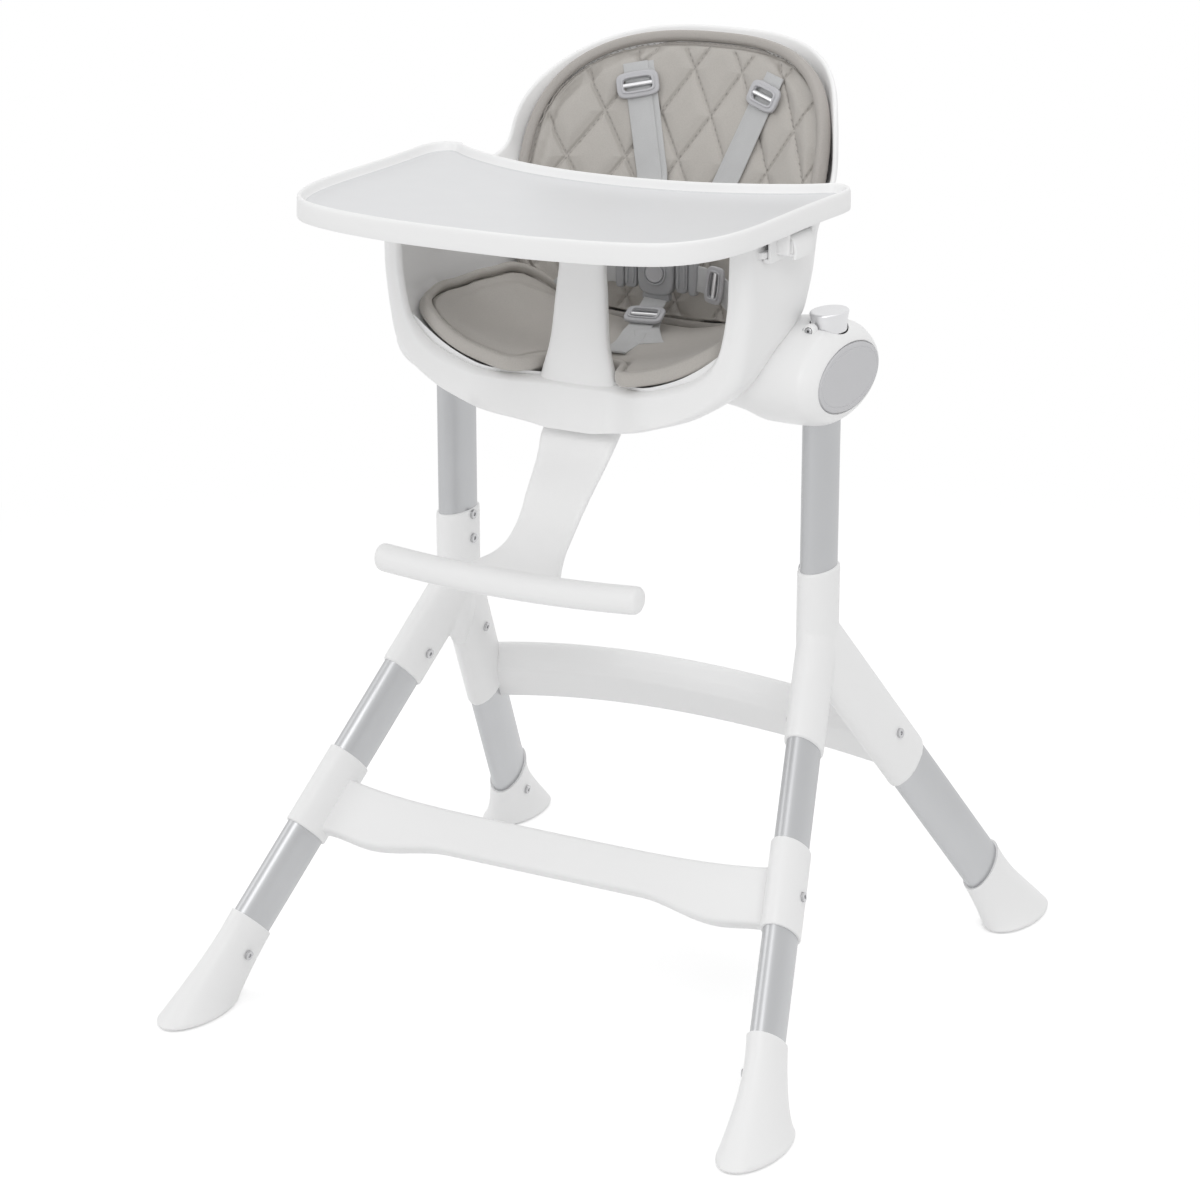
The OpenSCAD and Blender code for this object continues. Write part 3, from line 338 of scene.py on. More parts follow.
# Cubic at the share t of a step h, from y0 with slope lean0 to y1 with slope lean1.
def hermite(t, h, y0, lean0, y1, lean1):
    return ((2 * t ** 3 - 3 * t ** 2 + 1) * y0 + (t ** 3 - 2 * t ** 2 + t) * h * lean0
            + (3 * t ** 2 - 2 * t ** 3) * y1 + (t ** 3 - t ** 2) * h * lean1)


# Smooth curve through (place, value, ...) rows: cubics that lean by the harmonic mean of the slopes.
def table(rows, at):
    rows = np.asarray(rows, float)
    at = np.clip(np.asarray(at, float), rows[0, 0], rows[-1, 0])
    x, y = rows[:, 0], rows[:, 1:]
    step = np.diff(x)[:, None]
    slope = np.diff(y, axis=0) / step
    product, both = slope[:-1] * slope[1:], slope[:-1] + slope[1:]
    inner = np.where(product > 0, 2 * product / np.where(np.abs(both) > 1e-12, both, 1), 0)
    lean = np.vstack([slope[:1], inner, slope[-1:]])
    i = np.clip(np.searchsorted(x, at, side="right") - 1, 0, len(x) - 2)
    h = step[i]
    out = hermite((at[..., None] - x[i][..., None]) / h, h, y[i], lean[i], y[i + 1], lean[i + 1])
    return out[..., 0] if out.shape[-1] == 1 else out


# Points evenly spaced along a smooth curve through the given ones (Catmull-Rom on chord length).
def curve(points, count, closed=False):
    p = np.asarray(points, float)
    if closed:
        p = np.vstack([p[-2:], p, p[:3]])
    chord = runOf(p)
    gap = np.diff(chord)[:, None]
    slope = np.diff(p, axis=0) / gap
    inner = (slope[:-1] * gap[1:] + slope[1:] * gap[:-1]) / (gap[1:] + gap[:-1])
    lean = np.vstack([slope[:1], inner, slope[-1:]])
    start, stop = (chord[2], chord[-3]) if closed else (0, chord[-1])
    at = np.linspace(start, stop, 40 * len(p))
    i = np.clip(np.searchsorted(chord, at, side="right") - 1, 0, len(chord) - 2)
    h = gap[i]
    fine = hermite(((at - chord[i]) / h[:, 0])[:, None], h, p[i], lean[i], p[i + 1], lean[i + 1])
    run = runOf(fine)
    steps = np.linspace(0, run[-1], count + 1)[:-1] if closed else np.linspace(0, run[-1], count)
    return np.stack([np.interp(steps, run, fine[:, k]) for k in range(p.shape[1])], axis=1)


# The right half of a plane outline, from the middle round to the middle, and its mirror image.
def bothHalves(right):
    return np.vstack([right, right[-2:0:-1] * [-1, 1]])


# Directions from a closed plane outline towards its inside.
def inwardOf(loop):
    ahead = np.roll(loop, -1, axis=0) - np.roll(loop, 1, axis=0)
    return unit(np.stack([-ahead[:, 1], ahead[:, 0]], axis=1))


# Quads of a grid of points whose columns run right round; with wrapRows its rows do too.
def gridFaces(rows, columns, wrapRows=False):
    r = np.arange(rows if wrapRows else rows - 1)[:, None]
    c = np.arange(columns)[None, :]
    rNext, cNext = (r + 1) % rows, (c + 1) % columns
    quads = np.stack([r * columns + c, rNext * columns + c,
                      rNext * columns + cNext, r * columns + cNext], axis=-1)
    return quads.reshape(-1, 4)


# Volume of a closed mesh, a sum of a . (b x c) / 6 over its triangles: negative if it is inside out.
def volumeOf(points, quads, triangles):
    tri = np.vstack([quads[:, [0, 1, 2]], quads[:, [0, 2, 3]], triangles])
    a, b, c = points[tri[:, 0]], points[tri[:, 1]], points[tri[:, 2]]
    return float(np.einsum("ij,ij->i", a, np.cross(b, c)).sum()) / 6


# Points and faces of a grid of points, faces outward; a centre point closes each end that is open.
def surfaceMesh(grid, wrapRows=False):
    rows, columns = grid.shape[:2]
    points = grid.reshape(-1, 3)
    quads = gridFaces(rows, columns, wrapRows)
    triangles = np.zeros((0, 3), int)
    if not wrapRows:
        c, cNext = np.arange(columns), (np.arange(columns) + 1) % columns
        n, lastRow = len(points), (rows - 1) * columns
        points = np.vstack([points, grid[0].mean(axis=0), grid[-1].mean(axis=0)])
        triangles = np.vstack([np.stack([np.full(columns, n), c, cNext], axis=1),
                               np.stack([np.full(columns, n + 1), lastRow + cNext, lastRow + c], axis=1)])
    if volumeOf(points, quads, triangles) < 0:
        quads, triangles = quads[:, ::-1], triangles[:, ::-1]
    return points, quads, triangles


# One object from surface parts, (points, quads, triangles) each, in millimetres.
def makePiece(name, parts, finish, body, nodes=(), sharp=38, uvs=None):
    points, faces, base = [], [], 0
    for p, quads, triangles in parts:
        points.append(p)
        faces.append((quads + base, triangles + base))
        base += len(p)
    co = (np.vstack(points) + [0, uprightY, 0]) * 0.001
    quads = np.vstack([f[0] for f in faces])
    triangles = np.vstack([f[1] for f in faces])
    mesh = bpy.data.meshes.new(name)
    mesh.vertices.add(len(co))
    mesh.vertices.foreach_set("co", co.astype(np.float32).ravel())
    loops = np.concatenate([quads.ravel(), triangles.ravel()])
    mesh.loops.add(len(loops))
    mesh.loops.foreach_set("vertex_index", loops.astype(np.int32))
    sizes = np.concatenate([np.full(len(quads), 4), np.full(len(triangles), 3)])
    starts = np.concatenate([[0], np.cumsum(sizes)[:-1]])
    mesh.polygons.add(len(sizes))
    mesh.polygons.foreach_set("loop_start", starts.astype(np.int32))
    mesh.polygons.foreach_set("loop_total", sizes.astype(np.int32))
    if uvs is not None:
        layer = mesh.uv_layers.new(name="UVMap")
        layer.data.foreach_set("uv", np.vstack(uvs)[loops].astype(np.float32).ravel())
    mesh.update(calc_edges=True)
    mesh.validate()
    mesh.shade_smooth()
    if sharp:
        mesh.set_sharp_from_angle(angle=math.radians(sharp))
    piece = addObject(name, mesh)
    mesh.materials.append(finishes[finish])
    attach(piece, body)
    if nodes:
        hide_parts(*nodes)
    return piece


# Applies what modifiers the piece has, so its mesh is what is seen.
def bake(piece):
    bpy.context.view_layer.update()
    seen = piece.evaluated_get(bpy.context.evaluated_depsgraph_get())
    fresh = bpy.data.meshes.new_from_object(seen)
    old = piece.data
    piece.modifiers.clear()
    piece.data = fresh
    fresh.name = piece.name
    bpy.data.meshes.remove(old)


# Each round moves every vertex half way to the middle of its neighbours.
def smoothOut(piece, rounds):
    smooth = piece.modifiers.new("soften", "SMOOTH")
    smooth.factor, smooth.iterations = 0.5, rounds


# Melts overlapping closed parts into one skin, and rounds every crease by a few voxels.
def fuse(piece, voxel, rounds):
    remesh = piece.modifiers.new("fuse", "REMESH")
    remesh.mode = "VOXEL"
    remesh.voxel_size = voxel
    remesh.use_smooth_shade = True
    smoothOut(piece, rounds)
    bake(piece)


# Rounds the edges sharper than an angle, then marks those sharper than another as creases.
def roundEdges(piece, width, segments, angle, sharp):
    edge = piece.modifiers.new("edge", "BEVEL")
    edge.width, edge.segments = width, segments
    edge.limit_method, edge.angle_limit = "ANGLE", math.radians(angle)
    bake(piece)
    piece.data.set_sharp_from_angle(angle=math.radians(sharp))


# A way from local X, Y, Z to the frame: Z runs along the direction, and X stays near the chair's X.
def along(start, direction):
    d = unit(direction)
    ex = unit(lateral - d * d[0])
    ey = np.cross(d, ex)
    start = np.asarray(start, float)
    return lambda local: start + local[..., :1] * ex + local[..., 1:2] * ey + local[..., 2:3] * d


# Rings of an oval rod: each row is (half width, half depth, height), ring = (w cos a, d sin a, h).
def ovalGrid(rows, count=64):
    rows = np.asarray(rows, float)
    a = fullTurn(count)
    return np.stack([rows[:, :1] * np.cos(a), rows[:, 1:2] * np.sin(a),
                     np.repeat(rows[:, 2:3], count, axis=1)], axis=-1)


# Places along a form with rounded ends, and how far its sides are drawn in there: r (1 - sin a).
def roundedEnds(start, stop, radius, steps=5):
    a = np.linspace(0, math.pi / 2, steps)
    inset, rise = radius * (1 - np.sin(a)), radius * (1 - np.cos(a))
    return np.concatenate([start + rise, (stop - rise)[::-1]]), np.concatenate([inset, inset[::-1]])


# Rows of an oval rod whose two rims are rounded to the radius.
def roundedRod(halfW, halfD, start, stop, radius):
    at, inset = roundedEnds(start, stop, radius)
    return np.stack([halfW - inset, halfD - inset, at], axis=1)


# Rounded rectangle, corner by corner: (sign (half - r) + r cos, sign (half - r) + r sin).
def roundedLoop(halfA, halfB, radius, steps=6):
    q = np.linspace(0, math.pi / 2, steps)
    angle = np.concatenate([q + k * math.pi / 2 for k in range(4)])
    signA = np.repeat([1, -1, -1, 1], steps)
    signB = np.repeat([1, 1, -1, -1], steps)
    halfA, halfB, radius = (np.asarray(v, float)[..., None] for v in (halfA, halfB, radius))
    return (signA * (halfA - radius) + radius * np.cos(angle),
            signB * (halfB - radius) + radius * np.sin(angle))


# A strap along a smooth path: a rounded rectangle, with its UV map in millimetres, across and along.
def band(path, across, width, thickness, count=120):
    path = curve(np.column_stack([path, across]), count)
    centre, side = path[:, :3], path[:, 3:]
    way = unit(np.gradient(centre, axis=0))
    side = unit(side - way * (side * way).sum(axis=1, keepdims=True))
    up = np.cross(way, side)
    a, b = roundedLoop(*(np.full(count, size) for size in (width / 2, thickness / 2, thickness * 0.45)), 3)
    grid = centre[:, None] + side[:, None] * a[..., None] + up[:, None] * b[..., None]
    run = runOf(centre)
    uv = np.stack([a.ravel(), np.repeat(run, a.shape[1])], axis=1)
    return surfaceMesh(grid), np.vstack([uv, [[0, run[0]], [0, run[-1]]]])


# A box with all its edges rounded: rounded rectangles along X that draw in at both ends.
def block(low, high, radius, s=1):
    low, high = np.array(low, float), np.array(high, float)
    x, inset = roundedEnds(low[0], high[0], radius)
    half, middle = (high - low) / 2, (low + high) / 2
    y, z = roundedLoop(half[1] - inset, half[2] - inset, np.maximum(radius - inset * 0.6, 0.3))
    return surfaceMesh(np.stack([s * (x[:, None] + 0 * y), middle[1] + y, middle[2] + z], axis=-1))


# A round bar between two points, with softly rounded ends.
def bar(start, stop, radius, s=1, count=20):
    start, stop = np.array(start, float) * [s, 1, 1], np.array(stop, float) * [s, 1, 1]
    d = unit(stop - start)
    side = unit(np.cross(d, [0.3, 0.2, 1.0]))
    rows = roundedRod(radius, radius, 0, np.linalg.norm(stop - start), radius * 0.35)
    a = fullTurn(count)[None, :, None]
    ring = side * np.cos(a) + np.cross(d, side) * np.sin(a)
    return surfaceMesh(start + rows[:, 2][:, None, None] * d + rows[:, :1, None] * ring)


# Frame: tubes, joints, collars, crossbars and feet

tubes = {
    "halfWidth": 15, "halfDepth": 30, "wall": 2.7, "junctionHeight": 387, "rings": 24, "columns": 72,
    "front": (109, -345, -387), "rear": (104, 297, -387),  # from the junction to the leg's end
    "uprightFrom": 407, "uprightTo": 684, "legFrom": 46, "legEnd": 46,
}
sockets = {
    "collar": 76, "front": 119, "rear": 212, "ball": 26, "voxel": 0.0016, "rounds": 9,
    # the web in the fork: half width, half depth and height
    "web": [(6, 8, -74), (9, 15, -62), (13, 22, -40), (15, 26, -8)],
}
socketW, socketD = tubes["halfWidth"] + tubes["wall"], tubes["halfDepth"] + tubes["wall"]
sideNames = {-1: "left", 1: "right"}


def junction(s):
    return np.array([s * postX, 0.0, tubes["junctionHeight"]])


def legWay(s, which):
    x, y, z = tubes[which]
    return np.array([s * x, y, z], float)


# A drawn oval tube. Its UV map runs once round and back (U) and along it in decimetres (V).
def tubePiece(name, start, way, first, last, node):
    rings, columns = tubes["rings"], tubes["columns"]
    heights = np.linspace(first, last, rings)
    rows = [np.full(rings, tubes["halfWidth"]), np.full(rings, tubes["halfDepth"]), heights]
    skin = surfaceMesh(along(start, way)(ovalGrid(np.stack(rows, axis=1), columns)))
    around = 1 - np.abs(np.linspace(0, 2, columns, endpoint=False) - 1)
    uv = np.stack([np.tile(around, rings), np.repeat(heights / 100, columns)], axis=1)
    uv = np.vstack([uv, [[0.5, heights[0] / 100], [0.5, heights[-1] / 100]]])
    makePiece(name, [skin], "tube", "frame", [node], uvs=[uv])


# A length of socket or collar with rounded rims, on a leg or an upright.
def sleeve(place, first, last, radius=1.2):
    return surfaceMesh(place(ovalGrid(roundedRod(socketW, socketD, first, last, radius))))


# Three overlapping sockets with a ball in their middle and a web in the fork, melted into one skin.
def joint(s):
    centre = junction(s)
    up = along(centre, (0, 0, 1))
    front, rear = along(centre, legWay(s, "front")), along(centre, legWay(s, "rear"))
    a = np.linspace(0.05, math.pi - 0.05, 20)
    ball = np.stack([socketW * np.sin(a), socketD * np.sin(a), sockets["ball"] * np.cos(a)], axis=1)
    parts = [sleeve(up, 0, sockets["collar"]), sleeve(front, 0, sockets["front"]),
             sleeve(rear, 0, sockets["rear"]), surfaceMesh(up(ovalGrid(ball))),
             surfaceMesh(up(ovalGrid(sockets["web"])))]
    side = sideNames[s]
    piece = makePiece("yJoint_" + side, parts, "white", "frame", ["y_joint_" + side])
    fuse(piece, sockets["voxel"], sockets["rounds"])


feet = {
    "front": {"cover": 108, "way": -1, "node": "foot_front_"},
    "rear": {"cover": 96, "way": 1, "node": "foot_rear_"},
    "halfWidth": 30, "halfLength": 59, "heelShift": 4, "sole": 1.5, "edge": 3, "toeBow": 5,
    "flare": 2.6, "turn": 1.6, "rimIn": (0.13, 0.07), "rimUp": 1.2, "rings": 36, "columns": 72,
}


# A boot: rings from the oval rim on the leg to a long oval on the floor, size = mix(rim, print,
# t^2.6), turned from square to the leg to level by t^1.6.
def foot(s, which):
    way = unit(legWay(s, which))
    length = np.linalg.norm(legWay(s, which))
    kind = feet[which]
    top = junction(s) + way * (length - kind["cover"])
    stand = junction(s) + way * length + [0, -kind["way"] * feet["heelShift"], 0]
    bottom = np.array([stand[0], stand[1], feet["sole"] + feet["edge"]])
    ex = unit(lateral - way * way[0])
    ey = np.cross(way, ex)
    t = np.linspace(0, 1, feet["rings"])[:, None]
    flare, turn = t ** feet["flare"], t ** feet["turn"]
    halfW, halfD = mix(socketW, feet["halfWidth"], flare), mix(socketD, feet["halfLength"], flare)
    u = unit(mix(ex, lateral, turn)) * halfW
    v = unit(mix(ey, np.array([0, np.sign(ey[1]), 0]), turn)) * halfD
    bow = -kind["way"] * feet["toeBow"] * np.sin(math.pi * t)
    middle = mix(top, bottom, t) + np.array([0, 1, 0]) * bow
    # the rim turns in to the tube, and the sole's edge is rounded
    rim = (1 - np.linspace(0, 1, 4)[:, None]) ** 2
    inU, inV = feet["rimIn"]
    u = np.vstack([u[:1] * (1 - rim * inU), u[1:]])
    v = np.vstack([v[:1] * (1 - rim * inV), v[1:]])
    middle = np.vstack([middle[:1] - way * feet["rimUp"] * (1 - rim) + way * feet["rimUp"], middle[1:]])
    q = np.linspace(0.2, 1, 5)[:, None] * math.pi / 2
    inset = feet["edge"] * (1 - np.cos(q))
    u = np.vstack([u, lateral * (feet["halfWidth"] - inset)])
    v = np.vstack([v, v[-1:] / feet["halfLength"] * (feet["halfLength"] - inset)])
    middle = np.vstack([middle, bottom - np.array([0, 0, 1]) * feet["edge"] * np.sin(q)])
    a = fullTurn(feet["columns"])[None, :, None]
    grid = middle[:, None] + u[:, None] * np.cos(a) + v[:, None] * np.sin(a)
    side = sideNames[s]
    makePiece("foot_" + which + "_" + side, [surfaceMesh(grid)], "white", "frame",
              [kind["node"] + side], sharp=50)


frontBar = {
    "at": 269, "thickness": 20, "face": 4, "round": 5,
    "collarFrom": 224, "collarTo": 314, "collarRim": 1.6,
    # down the slope: the upper edge and how it sweeps up at the ends, the lower edge and its two
    # steps, each with the shares of the half length where it starts and that it takes
    "upper": -10, "upperSweep": -15, "lower": 34, "steps": [(12, 0.42, 0.32), (-6, 0.75, 0.2)],
}
rearBar = {
    "at": 175, "arch": 38, "bevel": 0.0028,
    "section": [(24, 0), (24, -28), (-38, -30), (-44, -26), (-44, -20), (-36, -8), (-25, 0)],
}


# Local X is the chair's X, local Y runs down the legs' slope, local Z points into the chair.
def slopePlace(at, which):
    d = unit(legWay(1, which))
    slope = unit([0, d[1], d[2]])
    face = np.cross(lateral, slope)
    centre = np.array([0, at * d[1], tubes["junctionHeight"] + at * d[2]])
    half = postX + d[0] * at
    return centre, slope, face, half


# A board whose upper edge sweeps up by f^4 and whose lower edge is hollowed by two smooth steps, along
# f = x / half.
def frontCrossbar():
    centre, slope, face, half = slopePlace(frontBar["at"], "front")
    f = np.linspace(-1, 1, 91)
    above = frontBar["upper"] + frontBar["upperSweep"] * f ** 4
    below = frontBar["lower"] + 0 * f
    for step, start, over in frontBar["steps"]:
        below = below + step * ease((np.abs(f) - start) / over)
    thick = frontBar["thickness"] / 2
    down, deep = roundedLoop((below - above) / 2, np.full_like(f, thick), np.full_like(f, frontBar["round"]))
    down = down + ((above + below) / 2)[:, None]
    deep = deep + thick - frontBar["face"]
    grid = centre + (half * f)[:, None, None] * lateral + down[..., None] * slope + deep[..., None] * face
    makePiece("frontCrossbar", [surfaceMesh(grid)], "white", "frame", ["front_crossbar"])


# An arched beam: one seven-sided section, lowered by 38 f^2 towards its ends, its edges rounded over.
def rearCrossbar():
    centre, slope, face, half = slopePlace(rearBar["at"], "rear")
    forward = -face * np.sign(face[1])
    f = np.linspace(-1, 1, 49)
    section = np.array(rearBar["section"], float)
    down = section[:, 0][None, :] + rearBar["arch"] * (f ** 2)[:, None]
    out = np.repeat(section[:, 1][None, :], len(f), axis=0)
    grid = centre + (half * f)[:, None, None] * lateral + down[..., None] * slope + out[..., None] * forward
    piece = makePiece("rearCrossbar", [surfaceMesh(grid)], "white", "frame",
                      ["rear_crossbar"], sharp=None)
    roundEdges(piece, rearBar["bevel"], 4, 20, 40)


for s, side in sideNames.items():
    tubePiece("uprightTube_" + side, (s * postX, 0, 0), (0, 0, 1), tubes["uprightFrom"], tubes["uprightTo"],
              "upright_" + side)
    for which in ("front", "rear"):
        reach = np.linalg.norm(legWay(s, which)) - tubes["legEnd"]
        tubePiece(which + "LegTube_" + side, junction(s), legWay(s, which), tubes["legFrom"], reach,
                  which + "_leg_" + side)
        foot(s, which)
    joint(s)
    collar = sleeve(along(junction(s), legWay(s, "front")), frontBar["collarFrom"], frontBar["collarTo"],
                    frontBar["collarRim"])
    makePiece("barCollar_" + side, [collar], "white", "frame", ["crossbar_collar_" + side])
frontCrossbar()
rearCrossbar()
print("frame pieces made")


# Seat cushion's form, which the shell's floor follows at the front
seatForm = {
    # right half of the outline in plan: front edge from the post outwards, wing, and back edge
    "front": [(0, -99), (24, -99), (35, -100), (41, -107), (46, -121), (51.5, -134), (58.5, -141),
              (90, -143.5), (124, -143), (148, -138), (163, -130), (173, -116), (179, -99), (181, -80)],
    "back": [(0, 74), (60, 69), (105, 57), (134, 41), (151, 17), (160, -8), (169, -30), (177, -52),
             (181, -80)],
    # where the wings' tops stand, by distance from the front: y, half width and height there
    "wings": [(-145, 162, 44), (-126, 167, 46), (-90, 178, 50), (-60, 178, 53), (-20, 166, 60),
              (20, 158, 70), (60, 152, 76)],
    "floor": 671.5, "thickness": 21, "edge": 13, "bend": 3.0, "reach": 181, "inset": 3.2, "narrow": 0.982,
    "voxel": 0.0048, "rounds": 18, "pressure": 4.0, "cap": 5,
    "seam": 10.5, "seamDip": (0.9, 1.6),  # how far in it runs; depth of its crease and of the step beyond
    "edgeHalf": (4.6, 7.6), "edgeSink": 6.6,
}


# Upper face of the seat cushion: z = floor + rise (|x| / reach)^3, reach and rise from the wings' rows.
def seatTop(x, y):
    reach, rise = np.moveaxis(table(seatForm["wings"], y), -1, 0)
    return seatForm["floor"] + rise * (np.abs(x) / reach) ** seatForm["bend"]


# Seat shell
shell = {
    "half": 203, "base": 604, "wall": 5.0, "frontWall": 9.0, "corner": 14, "floor": 646,
    "lipMiddle": -124, "lipSweep": 31, "sweepFrom": 0.17, "sweepOver": 0.32,
    # the lip leans back by this much at the top, and its foot comes forward, more so in the middle
    "leanBack": 3, "footForward": 6, "middleForward": 7, "leanHeight": 110,
    "archHalf": 186, "archFrom": 814, "archTo": 950, "archPower": 2.95, "rimRound": 3.1,
    "columns": 230, "outsideRows": 64, "rimRows": 11, "insideRows": 34,
    # low down the columns are spaced as on the ring at this height, and they gather as they rise
    "evenAt": 660, "gather": 2.5, "mouthLow": 43, "foot": 0.6,
    # the floor's edge stands this far under the cushion's top, and rises from this far back
    "underEdge": 16, "riseFrom": -70, "riseOver": 50, "riseMost": 90, "liftMost": 12,
    # height above the base, and there: half width as a share, back, start of the rounding, exponent
    "halfWidth": [(0, 0.10), (2, 0.19), (8.6, 0.325), (19.6, 0.50), (32, 0.68), (40.6, 0.762),
                  (52.7, 0.849), (64, 0.904), (78, 0.944), (98, 0.966), (125, 0.986), (156, 1), (360, 1)],
    "back": [(0, -10), (8, 35), (20, 66), (42, 98), (76, 115), (136, 128), (190, 146), (212, 155),
             (242, 165), (296, 184), (360, 209)],
    "centre": [(0, -128), (70, -128), (89, -120), (103, -90), (119, -80), (189, -80), (237, -50), (360, -50)],
    "power": [(0, 1.8), (40, 1.75), (52, 1.68), (70, 1.68), (89, 1.9), (103, 2), (119, 2.2), (156, 2.3),
              (189, 2.35), (212, 2.6), (237, 2.75), (301, 2.5), (360, 2.5)],
    # the rim past the arch: the flare (x, height), the armrest (place on the ring, height), and the
    # leg opening's edge in front view, from the armrest down to the middle
    "flare": [(185, 847), (186.6, 837), (188.8, 830), (192, 825.6), (195.8, 823.7), (199.4, 823.1)],
    "armrest": [(0.93, 823), (1.1, 823), (1.4, 823), (1.7, 823), (2.0, 823), (2.3, 823), (2.6, 822),
                (2.85, 818.5)],
    "opening": [(186, 806), (186, 790), (185, 762), (180.5, 729), (172, 699), (159, 680), (140, 667),
                (111, 658), (87, 652.5), (62, 648), (30, 647), (0, 647)],
    # the hole in the underside: half width, half length, middle; its form gives way to the ring's
    # over a height that runs from the first of holeReach at the back to the second at the front
    "hole": (28, 45, -30), "holeReach": (13, 1.6),
    # inside, the wall draws in where it meets the floor; the floor's rows, as shares of its edge
    "foldIn": 8, "foldHeight": 16, "floorMiddle": (0.0, -20),
    "floorRows": (0.98, 0.94, 0.88, 0.8, 0.68, 0.55, 0.4, 0.28),
    # the space under the floor: half width, half length, middle and height
    "hollow": [(76, 74, -28, 641), (80, 78, -28, 638), (80, 78, -28, 632), (68, 74, -31, 626),
               (54, 68, -35, 620), (36, 56, -38, 613), (29, 48, -33, 608)],
    "railFrom": -132, "railTo": -20, "railLow": 799, "railHigh": 805, "railHalf": 5, "railTaper": 6,
    "railRound": 1.2,
}


# Lip of the shell at a distance from the middle: lipMiddle - lipSweep ease((|x| / half - from) / over).
def lipY(x):
    share = (np.abs(x) / shell["half"] - shell["sweepFrom"]) / shell["sweepOver"]
    return shell["lipMiddle"] - shell["lipSweep"] * ease(share)


# A level ring of the shell, right half. The place u runs 0-1 round the back (x = half cos^e, y = centre
# + depth sin^e), 1-2 along the side, 2-3 round the front corner (x = half - r + r cos, y = lip + r (1 -
# sin)) and 3-4 along the lip to the middle.
def ringPoint(u, z, grow=0.0, front=0.0):
    h = z - shell["base"]
    half = np.maximum(6, grow + shell["half"] * table(shell["halfWidth"], h))
    r = np.minimum(shell["corner"] + grow * 0.6, half * 0.4)
    aside = ease((half * np.clip(4 - u, 0, 1) - 30) / 90)
    foot = (1 - np.clip((h - 2) / shell["leanHeight"], 0, 1)) ** 3
    lean = shell["leanBack"] - (shell["footForward"] + shell["middleForward"] * (1 - aside)) * foot
    cornerStart = lipY(half) + front + lean + r
    c = np.maximum(table(shell["centre"], h), cornerStart + 1)
    depth = table(shell["back"], h) - c + grow
    e = 2 / table(shell["power"], h)
    a = np.clip(1 - u, 0, 1) * math.pi / 2
    q = np.clip(u - 2, 0, 1) * math.pi / 2
    lipX = np.where(u < 3, half - r + r * np.cos(q), (half - r) * np.clip(4 - u, 0, 1))
    lip = lipY(lipX) + front + lean
    x = np.where(u < 1, half * np.cos(a) ** e, np.where(u < 2, half, lipX))
    y = np.where(u < 1, c + depth * np.sin(a) ** e,
                 np.where(u < 2, mix(c, cornerStart, np.clip(u - 1, 0, 1)),
                          np.where(u < 3, lip + r * (1 - np.sin(q)), lip)))
    return np.stack([x, y, z + 0 * x], axis=-1)


# The rim as places on the rings and heights: down the arch, through the flare, along the armrest, round
# its front end and down the leg opening.
def rimPath():
    half, low, high, power = (shell["arch" + word] for word in ("Half", "From", "To", "Power"))
    x = half * np.sin(np.radians(np.linspace(0, 80, 15)))
    z = low + (high - low) * (1 - (x / half) ** power) ** (1 / power)
    x, z = np.vstack([np.stack([x, z], axis=1), shell["flare"]]).T
    wide = shell["half"] * table(shell["halfWidth"], z - shell["base"])
    e = 2 / table(shell["power"], z - shell["base"])
    arch = np.stack([1 - np.arccos(np.minimum(1, (x / wide) ** (1 / e))) / (math.pi / 2), z], axis=1)
    x, z = np.array(shell["opening"]).T
    wide = shell["half"] * table(shell["halfWidth"], z - shell["base"])
    mouth = np.stack([4 - x / (wide - shell["corner"]), z], axis=1)
    # a whole place counts as many millimetres, so that the curve heeds places and heights alike
    weight, least = 200, 5e-5
    fine = curve(np.vstack([arch, shell["armrest"], mouth]) * [weight, 1], 3000)
    # the place always moves on a little, so that no column folds back over the one before
    drift = np.arange(len(fine)) * least
    u, z = np.maximum.accumulate(fine[:, 0] / weight - drift) + drift, fine[:, 1]
    run = runOf(ringPoint(u, z))
    at = np.linspace(0, run[-1], shell["columns"])
    u, top = np.interp(at, run, u), np.interp(at, run, z)
    u[0], u[-1] = 0.0, 4.0
    return u, top


# The inner face: the ring drawn in by the wall, and by foldIn (1 - h / foldHeight)^2 above the floor.
def innerPoint(u, z):
    extra = shell["foldIn"] * np.clip(1 - (z - shell["floor"]) / shell["foldHeight"], 0, 1) ** 2
    return ringPoint(u, z, -shell["wall"] - extra, shell["frontWall"] + extra)


# Outside, from the hole in the underside up to the rim. A row's height runs from a level one to the
# rim's by w^3, and its places from the evenly spaced ones to the rim's by an exponential of w.
def shellOutside(u, top):
    places = np.linspace(0, 4, 2000)
    run = runOf(ringPoint(places, shell["evenAt"]))
    even = np.interp(np.linspace(0, run[-1], len(u)), run, places)
    w = np.linspace(0, 1, shell["outsideRows"])[:, None]
    level = mix(shell["foot"], shell["mouthLow"], w ** 1.15)
    h = mix(level, (top - shell["base"])[None, :], w ** 3)
    spread = np.expm1(shell["gather"] * (1 - w)) / math.expm1(shell["gather"])
    around = mix(u[None, :], even[None, :], spread)
    turn = np.radians(45 * around)
    wide, long, middle = shell["hole"]
    hole = np.stack([wide * np.sin(turn), middle + long * np.cos(turn), h + shell["base"]], axis=-1)
    reach = mix(*shell["holeReach"], ease((around - 1.6) / 1.6))
    outer = mix(hole, ringPoint(around, h + shell["base"]), ease((h - shell["foot"]) / reach)[..., None])
    hollow = [np.stack([a * np.sin(turn[0]), c + b * np.cos(turn[0]), z + 0 * turn[0]], axis=-1)
              for a, b, c, z in shell["hollow"]]
    return np.concatenate([hollow, outer])


